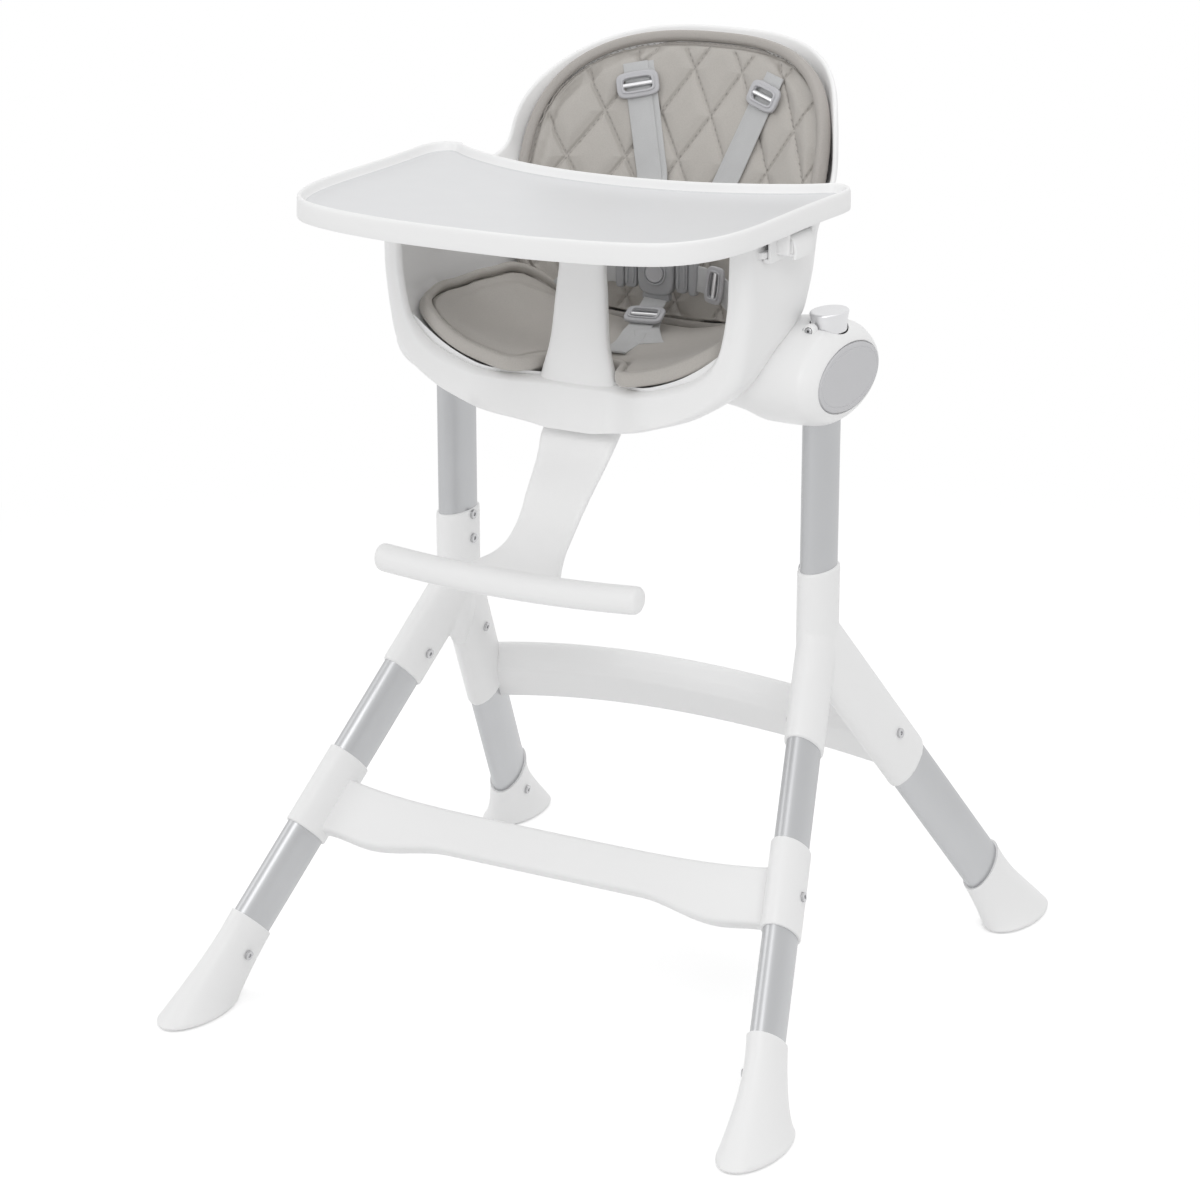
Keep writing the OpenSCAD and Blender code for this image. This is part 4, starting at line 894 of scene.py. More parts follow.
# How far the floor's edge rises at each place, to just below the seat cushion's edge near the front.
def floorRise(u):
    rise = 0 * u
    for again in range(3):
        edge = innerPoint(u, shell["floor"] + rise)
        under = seatTop(edge[:, 0], edge[:, 1]) - shell["underEdge"] - shell["floor"]
        behind = ease((edge[:, 1] - shell["riseFrom"]) / shell["riseOver"])
        rise = np.clip(under, 0, shell["riseMost"]) * (1 - behind)
    return rise


# The rim rolls over from the outer edge to the inner one: a half turn whose height is rimRound sin.
def rolledRim(u, top, edgeOut, edgeIn):
    n = np.cross(ringPoint(u + 0.004, top) - ringPoint(u - 0.004, top),
                 ringPoint(u, top + 0.5) - ringPoint(u, top - 0.5))
    t = np.gradient(edgeOut, axis=0)
    t[0], t[-1] = [1, 0, 0], [-1, 0, 0]
    # away from the wall: upwards, or where that is nearly level, towards the middle
    out = unit(np.cross(t, unit(n)))
    level = np.abs(out[:, 2]) < 0.2
    out = out * np.sign(out[:, 2] + 1e-9 - 2 * level * out[:, 0])[:, None]
    roll = np.linspace(0, math.pi, shell["rimRows"])[1:-1, None, None]
    return mix(edgeOut, edgeIn, (1 - np.cos(roll)) / 2) + out * shell["rimRound"] * np.sin(roll)


# Inside, down to the floor's edge, and the floor, which rises towards that edge by the share k^4.
def shellInside(u, top, rise):
    w = np.linspace(0, 1, shell["insideRows"])[:, None] ** 0.9
    edge = (shell["floor"] + rise)[None, :]
    inner = innerPoint(np.repeat(u[None, :], len(w), axis=0), mix(top[None, :], edge, w))
    k = np.array(shell["floorRows"])[:, None, None]
    floorRows = mix(np.array([*shell["floorMiddle"], shell["floor"]]), inner[-1:], k)
    floorRows[:, :, 2] = shell["floor"] + rise * k[:, :, 0] ** 4
    return np.concatenate([inner, floorRows])


# A rail under the armrest's edge, which tapers at its two ends.
def trayRail(s):
    y = np.linspace(shell["railFrom"], shell["railTo"], 30)
    low, high = shell["railLow"], shell["railHigh"]
    taper = np.minimum(1, np.minimum(y - y[0], y[-1] - y) / shell["railTaper"] + 0.25)
    a, b = roundedLoop(shell["railHalf"] * taper, np.full_like(y, (high - low) / 2),
                       np.full_like(y, shell["railRound"]))
    wall = ringPoint(1.5 + 0 * y, low + 0 * y)[:, :1]
    return surfaceMesh(np.stack([s * (wall + 1 + a), y[:, None] + 0 * a, (low + high) / 2 + b], axis=-1))


# One closed skin: the hollow, the outside, the rim, the inside and the floor, row after row.
def seatShell():
    u, top = rimPath()
    outside = shellOutside(u, top)
    rise = floorRise(u)
    innerTop = top + np.clip((shell["floor"] + rise - top) * 0.5, 0, shell["liftMost"])
    rim = rolledRim(u, top, outside[-1], innerPoint(u, innerTop))
    right = np.concatenate([outside, rim, shellInside(u, innerTop, rise)])
    # the left half mirrors the right one, and the columns run on through it to the back again
    grid = np.concatenate([right, right[:, -2:0:-1] * [-1, 1, 1]], axis=1)
    makePiece("seatShell", [surfaceMesh(grid)] + [trayRail(s) for s in sideNames], "white", "seat",
              ["seat_shell"], sharp=60)


seatShell()
print("seat shell made")


# Footrest, crotch post and hubs

# Rings of a rounded bar: centre + u |cos|^(2/p) + v |sin|^(2/p), with their signs.
def loft(centres, u, v, count, power=2.0):
    a = fullTurn(count)[None, :, None]
    return (centres[:, None] + u[:, None] * signedPower(np.cos(a), 2 / power)
            + v[:, None] * signedPower(np.sin(a), 2 / power))


footrestForm = {
    "from": (106, 604.3), "to": (252, 489), "halfLength": 145, "radius": 14, "rounding": 5.5,
    "bow": 8, "drop": 3.5, "voxel": 0.0016, "rounds": 13,
    # share of the drop, share of the reach, half width, half thickness, lean in degrees
    "stem": [(-0.035, -0.09, 37, 8, 4), (-0.005, -0.05, 40.5, 9.5, 12), (0.07, 0.03, 42, 9, 30),
             (0.25, 0.14, 39, 7, 45), (0.5, 0.33, 35, 7, 48), (0.76, 0.52, 32.5, 7, 46),
             (0.88, 0.65, 34.5, 8, 56), (0.95, 0.77, 41, 8.5, 72), (0.98, 0.88, 49, 8.5, 82),
             (1, 1, 58, 8, 88)],
}


# Stem: lofted rings that lean forward. Bar: a rod with round ends, bowed by 1 - (x / half)^2.
def footrest():
    form = footrestForm
    alike = [300, 300, 1, 1, 1]  # brings the two shares to the size of the rest
    rows = curve(np.array(form["stem"]) * alike, 50) / alike
    (rootY, top), (reach, low) = form["from"], form["to"]
    lean = np.radians(rows[:, 4])
    centres = np.stack([0 * lean, -rootY - rows[:, 1] * (reach - rootY), top - rows[:, 0] * (top - low)],
                       axis=1)
    u = np.stack([rows[:, 2], 0 * lean, 0 * lean], axis=1)
    v = np.stack([0 * lean, -np.cos(lean) * rows[:, 3], np.sin(lean) * rows[:, 3]], axis=1)
    stem = surfaceMesh(loft(centres, u, v, 56, 3.0))
    half, edge = form["halfLength"], form["rounding"]
    t = np.linspace(-math.pi / 2, math.pi / 2, 16)
    x = np.concatenate([-half + edge + edge * np.sin(t[:8]), np.linspace(-half + 8, half - 8, 50),
                        half - edge + edge * np.sin(t[8:])])
    size = form["radius"] - edge + edge * np.concatenate([np.cos(t[:8]), np.ones(50), np.cos(t[8:])])
    bow = 1 - (x / half) ** 2
    middle = np.stack([x, -reach - form["bow"] * bow, low - form["drop"] * bow], axis=1)
    deep, high = size[:, None] * np.array([0, 1, 0]), size[:, None] * np.array([0, 0, 1])
    rod = surfaceMesh(loft(middle, deep, high, 48))
    piece = makePiece("footrest", [stem, rod], "white", "seat", ["footrest"])
    fuse(piece, form["voxel"], form["rounds"])


postForm = {
    "low": 647.1, "high": 823.5, "thickness": 16, "face": -121, "lean": 13, "power": 3.2, "rings": 60,
    # share of the height, half width
    "rows": [(0, 46), (0.04, 42), (0.1, 39), (0.2, 34), (0.3, 31), (0.5, 28), (0.68, 25), (0.92, 24),
             (0.985, 22.5), (1, 20)],
}


# Rounded rings that lean back by 13 t, as wide as the rows say.
def crotchPost():
    t = np.linspace(0, 1, postForm["rings"])
    thick = postForm["thickness"] / 2
    centres = np.stack([0 * t, postForm["face"] + thick + postForm["lean"] * t,
                        mix(postForm["low"], postForm["high"], t)], axis=1)
    halfW = table(postForm["rows"], t)[:, None] * lateral
    grid = loft(centres, halfW, np.repeat([[0, thick, 0]], len(t), axis=0), 56, postForm["power"])
    makePiece("crotchPost", [surfaceMesh(grid)], "white", "seat", ["crotch_post"])


hubForm = {
    "height": 662, "wall": 3, "buried": 2, "drumRows": 240, "liningEnd": 159,
    # distance from the upright, height of the middle, half length, half height
    "rows": [(-134, -27, 50, 4), (-119, -26, 60, 8), (-84, -12, 70, 26), (-59, -5, 78, 38),
             (-34, -0.5, 84, 50.5), (-9, 0.5, 86, 51.5), (11, 0, 84.5, 49.6), (19, -0.8, 80, 45.6),
             (23.8, -1.3, 75.5, 41.5), (26.9, -1.8, 71.5, 37.6), (28, -2, 69, 35.2)],
    "recess": [(28.2, -2, 68.2, 34.4), (27.6, -2, 67.6, 33.8), (25.4, -2, 67.4, 33.6)],
    "cap": [(25.3, 66.6, 32.6), (28.3, 66.6, 32.6), (29.1, 66.2, 32.2), (29.5, 65.3, 31.3),
            (29.5, 62.4, 28.4), (29.1, 61.8, 27.8), (29.1, 61.0, 27.0), (29.5, 60.4, 26.4),
            (29.5, 40, 17), (29.5, 15, 6)],
    # the lever: its hinge's bosses, a screw in front of it (first and last y, radius, sides), and the
    # well it stands in (more than its half width, more than its half length, height)
    "hinge": (-2, 709), "bossFrom": (-31, 26.2), "boss": (4.8, 3.6),
    "screw": (1.4, 710.2),
    # the screw's rows: boss, a dark ring of painted shade round the head, head, a dark disc of painted shade
    # in the socket
    "screwRows": [(-36.5, -26.4, 6.2, 32), (-36.8, -34, 4.8, 32), (-37.5, -34, 3.7, 32),
                  (-37.7, -36, 1.6, 6)],
    "plateX": 6, "plate": (16.5, 25), "plateLow": 703.5, "plateHigh": 724, "plateRound": 1.8,
    "well": [(0.3, 0.2, 699.6), (0.6, 0.5, 700.6), (0.7, 0.6, 745)], "wellEdge": 0.0009,
    # rings of the lever below its rounded edge, and of the dish in its top: less than the half width,
    # less than the half length, and the height from its foot or from its top
    "skirt": [(1.3, 1, 0), (0.5, 0.4, 1), (1, 0.8, 5.5), (0.6, 0.4, 10.5)],
    "dish": [(5, 6.5, 0.3), (9, 13, 0.8), (14, 21, 1.0)],
}


# Rings of a drum that lies sideways: x = post + out, y = length cos a, z = height + rise + height sin a.
def hubRing(rows, s, count=96):
    a = fullTurn(count)[None, :]
    rows = np.asarray(rows, float)
    x = np.repeat(s * (postX + rows[:, :1]), count, axis=1)
    z = hubForm["height"] + rows[:, 1:2] + rows[:, 3:4] * np.sin(a)
    return np.stack([x, rows[:, 2:3] * np.cos(a), z], axis=-1)


# How far a point stands outside the shell's outer face, sideways; below the shell it counts as outside.
def outsideShell(p):
    h = np.maximum(p[..., 2] - shell["base"], 0)
    half = shell["half"] * table(shell["halfWidth"], h)
    c, back, e = table(shell["centre"], h), table(shell["back"], h), table(shell["power"], h)
    f = np.clip((p[..., 1] - c) / (back - c), 0, 0.999)
    wallX = half * (1 - f ** e) ** (1 / e)
    return np.where(p[..., 2] < shell["base"], 50.0, np.abs(p[..., 0]) - wallX)


# An oval drum whose inner end stops 2 mm inside the shell's wall, and turns back as a 3 mm skin.
def hubSkin(s):
    count = hubForm["drumRows"]
    rows = [(i,) + row for i, row in enumerate(hubForm["rows"])]
    fine = table(rows, np.linspace(0, len(rows) - 1, count))
    drum = hubRing(fine, s)
    buried = outsideShell(drum) < -hubForm["buried"]
    start = np.array([column.nonzero()[0].max() + 1 if column.any() else 0 for column in buried.T])
    columns = np.arange(drum.shape[1])[None, :]

    # rows of a grid between each column's own start and one end for all
    def resampled(grid, steps, end):
        place = start[None, :] + np.linspace(0, 1, steps)[:, None] * (end - start)[None, :]
        i = np.minimum(place.astype(int), count - 2)
        return mix(grid[i, columns], grid[i + 1, columns], (place - i)[..., None])

    thin = fine.copy()
    thin[:, 2:] = np.maximum(thin[:, 2:] - hubForm["wall"], 3)
    lining = resampled(hubRing(thin, s), 20, hubForm["liningEnd"])
    return np.concatenate([lining[::-1], resampled(drum, 60, count - 1), hubRing(hubForm["recess"], s)])


# Two bosses for the lever's hinge; and before the lever a screw: boss, a dark ring of painted shade round the
# head, the head, and a dark disc of painted shade in its socket.
def leverScrew(s):
    side = sideNames[s]
    x, z = hubForm["hinge"]
    length, radius = hubForm["boss"]
    bosses = [bar((postX + x, y, z), (postX + x, y + length, z), radius, s, 32) for y in hubForm["bossFrom"]]
    x, z = hubForm["screw"]
    boss, ring, head, socket = [bar((postX + x, first, z), (postX + x, last, z), radius, s, sides)
                                for first, last, radius, sides in hubForm["screwRows"]]
    makePiece("hubBosses_" + side, bosses + [boss], "white", "seat")
    makePiece("leverScrewHead_" + side, [head], "steel", "seat")
    # the dark ring and the disc in the socket are painted shade round the screw's head and in its socket
    makePiece("leverScrewPaintedShade_" + side, [ring, socket], "rubber", "seat")


# The release lever: an oval button with a shallow dish in its top.
def leverPlate(s, place):
    wide, long = hubForm["plate"]
    low, high, r = hubForm["plateLow"], hubForm["plateHigh"], hubForm["plateRound"]
    inset = [1 - math.cos(a) for a in np.linspace(0, 1, 7) * math.pi / 2]
    rise = [math.sin(a) for a in np.linspace(0, 1, 7) * math.pi / 2]
    rows = ([(wide - a, long - b, low + c) for a, b, c in hubForm["skirt"]]
            + [(wide + 1 - r * a, long + 1 - r * a, high - r + r * b) for a, b in zip(inset, rise)]
            + [(wide - a, long - b, high - c) for a, b, c in hubForm["dish"]])
    side = sideNames[s]
    makePiece("leverPlate_" + side, [surfaceMesh(place(ovalGrid(rows, 72)))], "lever", "lever_" + side,
              ["release_lever_" + side], sharp=35)


# The drum with the lever's well cut into it, its cap, and the lever.
def hub(s):
    side = sideNames[s]
    leverScrew(s)
    piece = makePiece("hub_" + side, [surfaceMesh(hubSkin(s))], "white", "seat",
                      ["hub_" + side])
    # the lever's well is cut out of it, and the cut's edge is rounded
    wide, long = hubForm["plate"]
    place = along((s * (postX + hubForm["plateX"]), 0, 0), (0, 0, 1))
    well = place(ovalGrid([(wide + a, long + b, z) for a, b, z in hubForm["well"]], 72))
    tool = makePiece("leverRecess", [surfaceMesh(well)], "white", "seat")
    cut = piece.modifiers.new("leverRecess", "BOOLEAN")
    cut.object = tool
    cut.solver = "EXACT"
    roundEdges(piece, hubForm["wellEdge"], 2, 55, 45)
    bpy.data.objects.remove(tool)
    cap = hubRing([(x, -2, halfLong, halfHigh) for x, halfLong, halfHigh in hubForm["cap"]], s)
    makePiece("hubCap_" + side, [surfaceMesh(cap)], "disc", "seat", ["hub_cap_" + side],
              sharp=30)
    leverPlate(s, place)


footrest()
crotchPost()
for s in sideNames:
    hub(s)
print("footrest, crotch post and hubs made")


# Tray
trayForm = {
    # right half of the outline, from the middle of the front edge round to the middle of the back one
    "outline": [(0, -337), (33, -336.8), (66, -335.5), (100, -331), (141, -323), (176, -311), (191, -303),
                (205, -290), (217, -272), (225, -252), (231, -224), (234, -188), (234.5, -142),
                (234.5, -90), (236, -45), (237, -17), (234.5, 1), (228, 11), (218, 16.5), (208, 16),
                (201, 9), (184, -3.5), (161, -16.5), (133, -29.5), (103, -40.5), (71, -48.5), (36, -53.5),
                (0, -55)],
    "centre": (0, -190), "columns": 420, "shares": (0.8, 0.55, 0.3, 0.12), "trueTo": 8, "evenFrom": 3,
    # inward distance and height of the removable top, from under its middle to over it, and the row
    # from which its faces are painted greyer: painted shade on the tray's floor
    "top": [(30, 834.4), (12, 834.4), (3, 834.4), (0.55, 834.2), (0.55, 825.2), (0.1, 825.1), (-0.2, 826),
            (-0.2, 832), (0, 838), (0.1, 842), (0.6, 844.4), (1.7, 845.7), (3.0, 846), (4.1, 845.4),
            (4.9, 843.8), (5.7, 841.2), (6.5, 839), (7.3, 837.6), (8, 836.9), (12, 836.6), (20, 836.6),
            (30, 836.6)],
    "paintedShadeFrom": 17,
    "base": [(30, 824), (10, 824), (3.4, 824.2), (1.6, 825.2), (0.9, 827), (0.8, 830), (0.8, 833.4),
             (1.4, 834), (4, 834), (4.4, 833), (4.6, 828), (5.4, 826.6), (8, 826.4), (30, 826.4)],
    # blocks under the base, by their two corners; the ears and the plate between them hold the latch
    "under": 825.6, "skirt": ((209.5, -125, 794), (213, -30, 825.6)),
    "toe": ((204.6, -125, 794), (211, -30, 798.4)), "skirtRound": 1.3,
    "hinge": (219, 815), "clasp": (-108, -64),
    "ear": (-8, 6.5, -14, 0.8, 6), "earRound": 1.6, "back": (-7.5, -3.9, -9, 4), "backRound": 0.8,
    # latch: centre lines in front view, from the hinge, and their thickness; its barrel's corners
    "latch": [([(-2.4, 0), (1.5, 2.0), (5.2, 1.2), (8.2, -3), (9.5, -9), (9.7, -15), (9.2, -18.5)], 3.6),
              ([(-8.6, -14.6), (0, -14.6), (8.6, -14.8)], 2.8)],
    "latchGap": 0.7, "barrel": ((-3.2, -13.4), (8, -0.5)), "barrelGap": 0.8, "barrelRound": 1.2,
}


# Rings of the outline moved in by each row's distance, then drawn together towards the centre.
def traySheet(rows):
    loop = curve(bothHalves(np.array(trayForm["outline"], float)), trayForm["columns"], closed=True)
    rows = np.array(rows, float)
    # up to 8 mm a ring is a true offset, and past that it moves straight towards the centre
    true = trayForm["trueTo"]
    near = loop[None] + inwardOf(loop)[None] * np.minimum(rows[:, 0], true)[:, None, None]
    # rings past 3 mm are evened out, so that they don't cross themselves inside the back corners
    for depth in np.linspace(trayForm["evenFrom"], true, 14):
        inner = rows[:, 0] > depth
        beside = np.roll(near[inner], 1, axis=1) + np.roll(near[inner], -1, axis=1)
        near[inner] = near[inner] / 2 + beside / 4
    toward = unit(np.array(trayForm["centre"]) - near)
    flat = near + toward * np.maximum(rows[:, 0] - true, 0)[:, None, None]
    grid = np.concatenate([flat, np.repeat(rows[:, 1][:, None, None], len(loop), axis=1)], axis=2)
    shares = np.array(trayForm["shares"])[:, None, None]
    first = mix(np.append(trayForm["centre"], rows[0, 1]), grid[:1], shares[::-1])
    last = mix(np.append(trayForm["centre"], rows[-1, 1]), grid[-1:], shares)
    return np.concatenate([first, grid, last])


# The removable top: one sheet from its own rows, its edge rolled up into a rim.
def trayTop():
    grid = traySheet(trayForm["top"])
    top = makePiece("trayTop", [surfaceMesh(grid)], "white", "tray_insert", ["tray_top"],
                    sharp=50)
    top.data.materials.append(finishes["trayPaintedShade"])
    # faces inside the foot of the rim are painted greyer as painted shade: bands, then the upper end's
    # triangles
    rows, columns = grid.shape[:2]
    index = np.zeros(len(top.data.polygons), np.int32)
    index[(len(trayForm["shares"]) + trayForm["paintedShadeFrom"]) * columns:(rows - 1) * columns] = 1
    index[rows * columns:] = 1
    top.data.polygons.foreach_set("material_index", index)


# The base: a sheet from its own rows, with side skirts whose toes reach under the rails, and ears.
def trayBase():
    parts = [surfaceMesh(traySheet(trayForm["base"]))]
    hingeX, hingeZ = trayForm["hinge"]
    first, last = trayForm["clasp"]
    under = trayForm["under"]
    earIn, earOut, earLow, gap, far = trayForm["ear"]
    backIn, backOut, backLow, over = trayForm["back"]
    for s in sideNames:
        parts += [block(*trayForm[name], trayForm["skirtRound"], s) for name in ("skirt", "toe")]
        for low, high in ((first - far, first - gap), (last + gap, last + far)):
            parts.append(block((hingeX + earIn, low, hingeZ + earLow), (hingeX + earOut, high, under),
                               trayForm["earRound"], s))
        parts.append(block((hingeX + backIn, first - over, hingeZ + backLow),
                           (hingeX + backOut, last + over, under), trayForm["backRound"], s))
    makePiece("trayBase", parts, "white", "tray", ["tray_base"], sharp=50)


# A latch is a curved flap that hangs from its hinge, and a hook that reaches in under the rail.
def trayLatch(s, side):
    hingeX, hingeZ = trayForm["hinge"]
    first, last = trayForm["clasp"]
    made = []
    for path, thick in trayForm["latch"]:
        x, z = np.array(path, float).T
        path = np.stack([s * (hingeX + x), np.full(len(x), (first + last) / 2), hingeZ + z], axis=1)
        across = np.repeat([[0, 1, 0]], len(x), axis=0)
        made.append(band(path, across, last - first - 2 * trayForm["latchGap"], thick, 40)[0])
    (lowX, lowZ), (highX, highZ) = trayForm["barrel"]
    gap = trayForm["barrelGap"]
    made.append(block((hingeX + lowX, first + gap, hingeZ + lowZ),
                      (hingeX + highX, last - gap, hingeZ + highZ), trayForm["barrelRound"], s))
    makePiece("trayLatch_" + side, made, "white", "latch_" + side, ["tray_latch_" + side],
              sharp=50)


trayTop()
trayBase()
for s, side in sideNames.items():
    trayLatch(s, side)
print("tray made")


# Cushions

# One value of each vertex, "co" or "normal", as rows of three.
def vertexRows(piece, value):
    rows = np.zeros(len(piece.data.vertices) * 3, np.float32)
    piece.data.vertices.foreach_get(value, rows)
    return rows.reshape(-1, 3)


# Points in millimetres with Y from the uprights, and normals.
def readShape(piece):
    points, normal = vertexRows(piece, "co"), vertexRows(piece, "normal")
    return points.astype(float) * 1000 - [0, uprightY, 0], normal.astype(float)


def writeShape(piece, points):
    co = (points + [0, uprightY, 0]) * 0.001
    piece.data.vertices.foreach_set("co", co.astype(np.float32).ravel())
    piece.data.update()


# Lets the closed skin swell like a filled cover. No point moves further than cap (mm), nor further than
# a tenth of it towards what the cushion rests on.
def plump(piece, pressure, cap, down, frames=20):
    rest = vertexRows(piece, "co")
    settings = piece.modifiers.new("filling", "CLOTH").settings
    settings.quality = 5
    settings.use_pressure = True
    settings.uniform_pressure_force = pressure
    settings.effector_weights.gravity = 0
    settings.tension_stiffness = settings.compression_stiffness = 18
    settings.bending_stiffness = 0.8
    scene = bpy.context.scene
    for frameNumber in range(1, frames + 1):
        scene.frame_set(frameNumber)
    bake(piece)
    scene.frame_set(1)
    move = vertexRows(piece, "co") - rest
    far = np.linalg.norm(move, axis=1, keepdims=True)
    move *= np.minimum(1, cap * 0.001 / np.maximum(far, 1e-9))
    down = np.asarray(down, np.float32)
    move -= np.maximum((move @ down)[:, None] - cap * 0.0001, 0) * down
    piece.data.vertices.foreach_set("co", (rest + move).ravel())
    piece.data.update()


def soften(piece, rounds, levels):
    smoothOut(piece, rounds)
    finer = piece.modifiers.new("finer", "SUBSURF")
    finer.levels = finer.render_levels = levels
    bake(piece)


# Distance from each point to the nearest of the line's points, and which one that is.
def nearest(points, line, chunk=4000):
    parts = [np.linalg.norm(points[i:i + chunk, None] - line[None], axis=2)
             for i in range(0, len(points), chunk)]
    return np.concatenate([p.min(axis=1) for p in parts]), np.concatenate([p.argmin(axis=1) for p in parts])


threadForm = {"long": 3.4, "thick": 0.42, "sink": 0.25, "gap": 6.2}


# Short threads: each is a spindle, centre + tangent t + radius (1 - t^4)^0.5 around, its ends sunk.
def stitches(name, centres, tangents, normals, body):
    rows, columns = 5, 6
    t = np.linspace(-1, 1, rows)
    a = fullTurn(columns)[None, None, :, None]
    side = unit(np.cross(normals, tangents))[:, None, None]
    size = (threadForm["thick"] * np.sqrt(np.maximum(1 - t ** 4, 0.05)))[None, :, None, None]
    lengthways = tangents[:, None, None] * (t * threadForm["long"] / 2)[None, :, None, None]
    sunk = normals[:, None, None] * (threadForm["sink"] * t ** 2)[None, :, None, None]
    points = (centres[:, None, None] + lengthways
              + (side * np.cos(a) + normals[:, None, None] * np.sin(a)) * size - sunk).reshape(-1, 3)
    base = np.arange(len(centres))[:, None, None] * rows * columns
    ends = np.array([[0, 5, 4, 3], [0, 3, 2, 1], [24, 25, 26, 27], [24, 27, 28, 29]])
    quads = np.vstack([(one[None] + base).reshape(-1, 4) for one in (gridFaces(rows, columns), ends)])
    none = np.zeros((0, 3), int)
    if volumeOf(points, quads, none) < 0:
        quads = quads[:, ::-1]
    makePiece(name, [(points, quads, none)], "thread", body, [], sharp=None)


backForm = {
    "halfWidth": 171.5, "middle": 813.8, "halfHeight": 136.5, "below": 148, "power": 2.95, "thickness": 19,
    # the front face: its depth at a height, its slope upwards, and its hollow over a reach sideways
    "faceY": 156, "faceZ": 900, "slope": 0.41, "hollow": 49, "reach": 147.4,
    "narrow": 0.978, "thin": 4, "edge": 9, "sink": 6.0,
    "voxel": 0.0050, "rounds": 18, "pressure": 4.5, "cap": 5,
    # depth and half width of a quilting line's crease and of the hollow along it; depth of the seam's
    # crease and of the step beyond it
    "crease": (2.3, 1.5), "puff": (2.6, 7.5), "seamDip": (1.3, 2.6),
    "diamond": (54, 88), "node": (-20, 915), "seam": 12.2, "threadInset": 15,
    "edgeHalf": (5.4, 7.2), "edgeSink": 5.6,
}


# Front face of the backrest cushion: y = 156 + 0.41 (z - 900) - 49 (x / 147.4)^2.
def backY(x, z):
    form = backForm
    return form["faceY"] + form["slope"] * (z - form["faceZ"]) - form["hollow"] * (x / form["reach"]) ** 2


# Its slope sideways: the derivative of the hollow.
def backLean(x):
    return -2 * backForm["hollow"] * x / backForm["reach"] ** 2


# Its outline: (half width |cos|^(2/p), half height |sin|^(2/p)), with a taller lower half.
def backOutline(count):
    a = fullTurn(count)
    tall = np.where(np.sin(a) > 0, backForm["halfHeight"], backForm["below"])
    return np.stack([backForm["halfWidth"] * signedPower(np.cos(a), 2 / backForm["power"]),
                     tall * signedPower(np.sin(a), 2 / backForm["power"])], axis=1)


# 1 on a superellipse that stands so many millimetres inside the outline, less within it.
def backShare(x, z, inset=0.0):
    tall = np.where(z > backForm["middle"], backForm["halfHeight"], backForm["below"]) - inset
    return ((np.abs(x) / (backForm["halfWidth"] - inset)) ** backForm["power"]
            + (np.abs(z - backForm["middle"]) / tall) ** backForm["power"])


# The bound edge of a cushion: a rounded strip (w cos^0.7, d sin^0.7) carried round its closed outline.
def boundEdge(name, centre, inward, face, halves, finish):
    q = fullTurn(24)
    wide, deep = halves[0] * signedPower(np.cos(q), 0.7), halves[1] * signedPower(np.sin(q), 0.7)
    # drawn in sideways, by 5 mm at most, where it would come within 4.5 mm of the shell's outer face
    over = np.clip(outsideShell(centre) + 4.5 + halves[0], 0, 5)
    centre = centre - np.stack([np.sign(centre[:, 0]) * over, 0 * over, 0 * over], axis=1)
    grid = centre[:, None] + unit(inward)[:, None] * wide[:, None] + unit(face)[:, None] * deep[:, None]
    piece = makePiece(name, [surfaceMesh(grid, wrapRows=True)], finish, "seat")


# Its strip lies on the front face, moved in from the outline by half its width.
def backEdge():
    hoop = curve(backOutline(180), 420, closed=True) + [0, backForm["middle"]]
    inward = inwardOf(hoop)
    x, z = (hoop + inward * backForm["edgeHalf"][0]).T
    # the front face's own slopes sideways and upwards
    leanX, leanZ = backLean(x), backForm["slope"]
    centre = np.stack([x, backY(x, z) + backForm["edgeSink"], z], axis=1)
    within = np.stack([inward[:, 0], leanX * inward[:, 0] + leanZ * inward[:, 1], inward[:, 1]], axis=1)
    face = np.stack([leanX, -np.ones_like(x), leanZ + 0 * x], axis=1)
    boundEdge("backCushionEdge", centre, within, face, backForm["edgeHalf"], "binding")


# Faces whose first corner is on the bound edge take the binding's finish.
def paintBinding(piece, edgePoints):
    piece.data.materials.append(finishes["binding"])
    start = np.zeros(len(piece.data.polygons), np.int32)
    piece.data.polygons.foreach_get("loop_start", start)
    corner = np.zeros(len(piece.data.loops), np.int32)
    piece.data.loops.foreach_get("vertex_index", corner)
    piece.data.polygons.foreach_set("material_index", edgePoints[corner[start]].astype(np.int32))


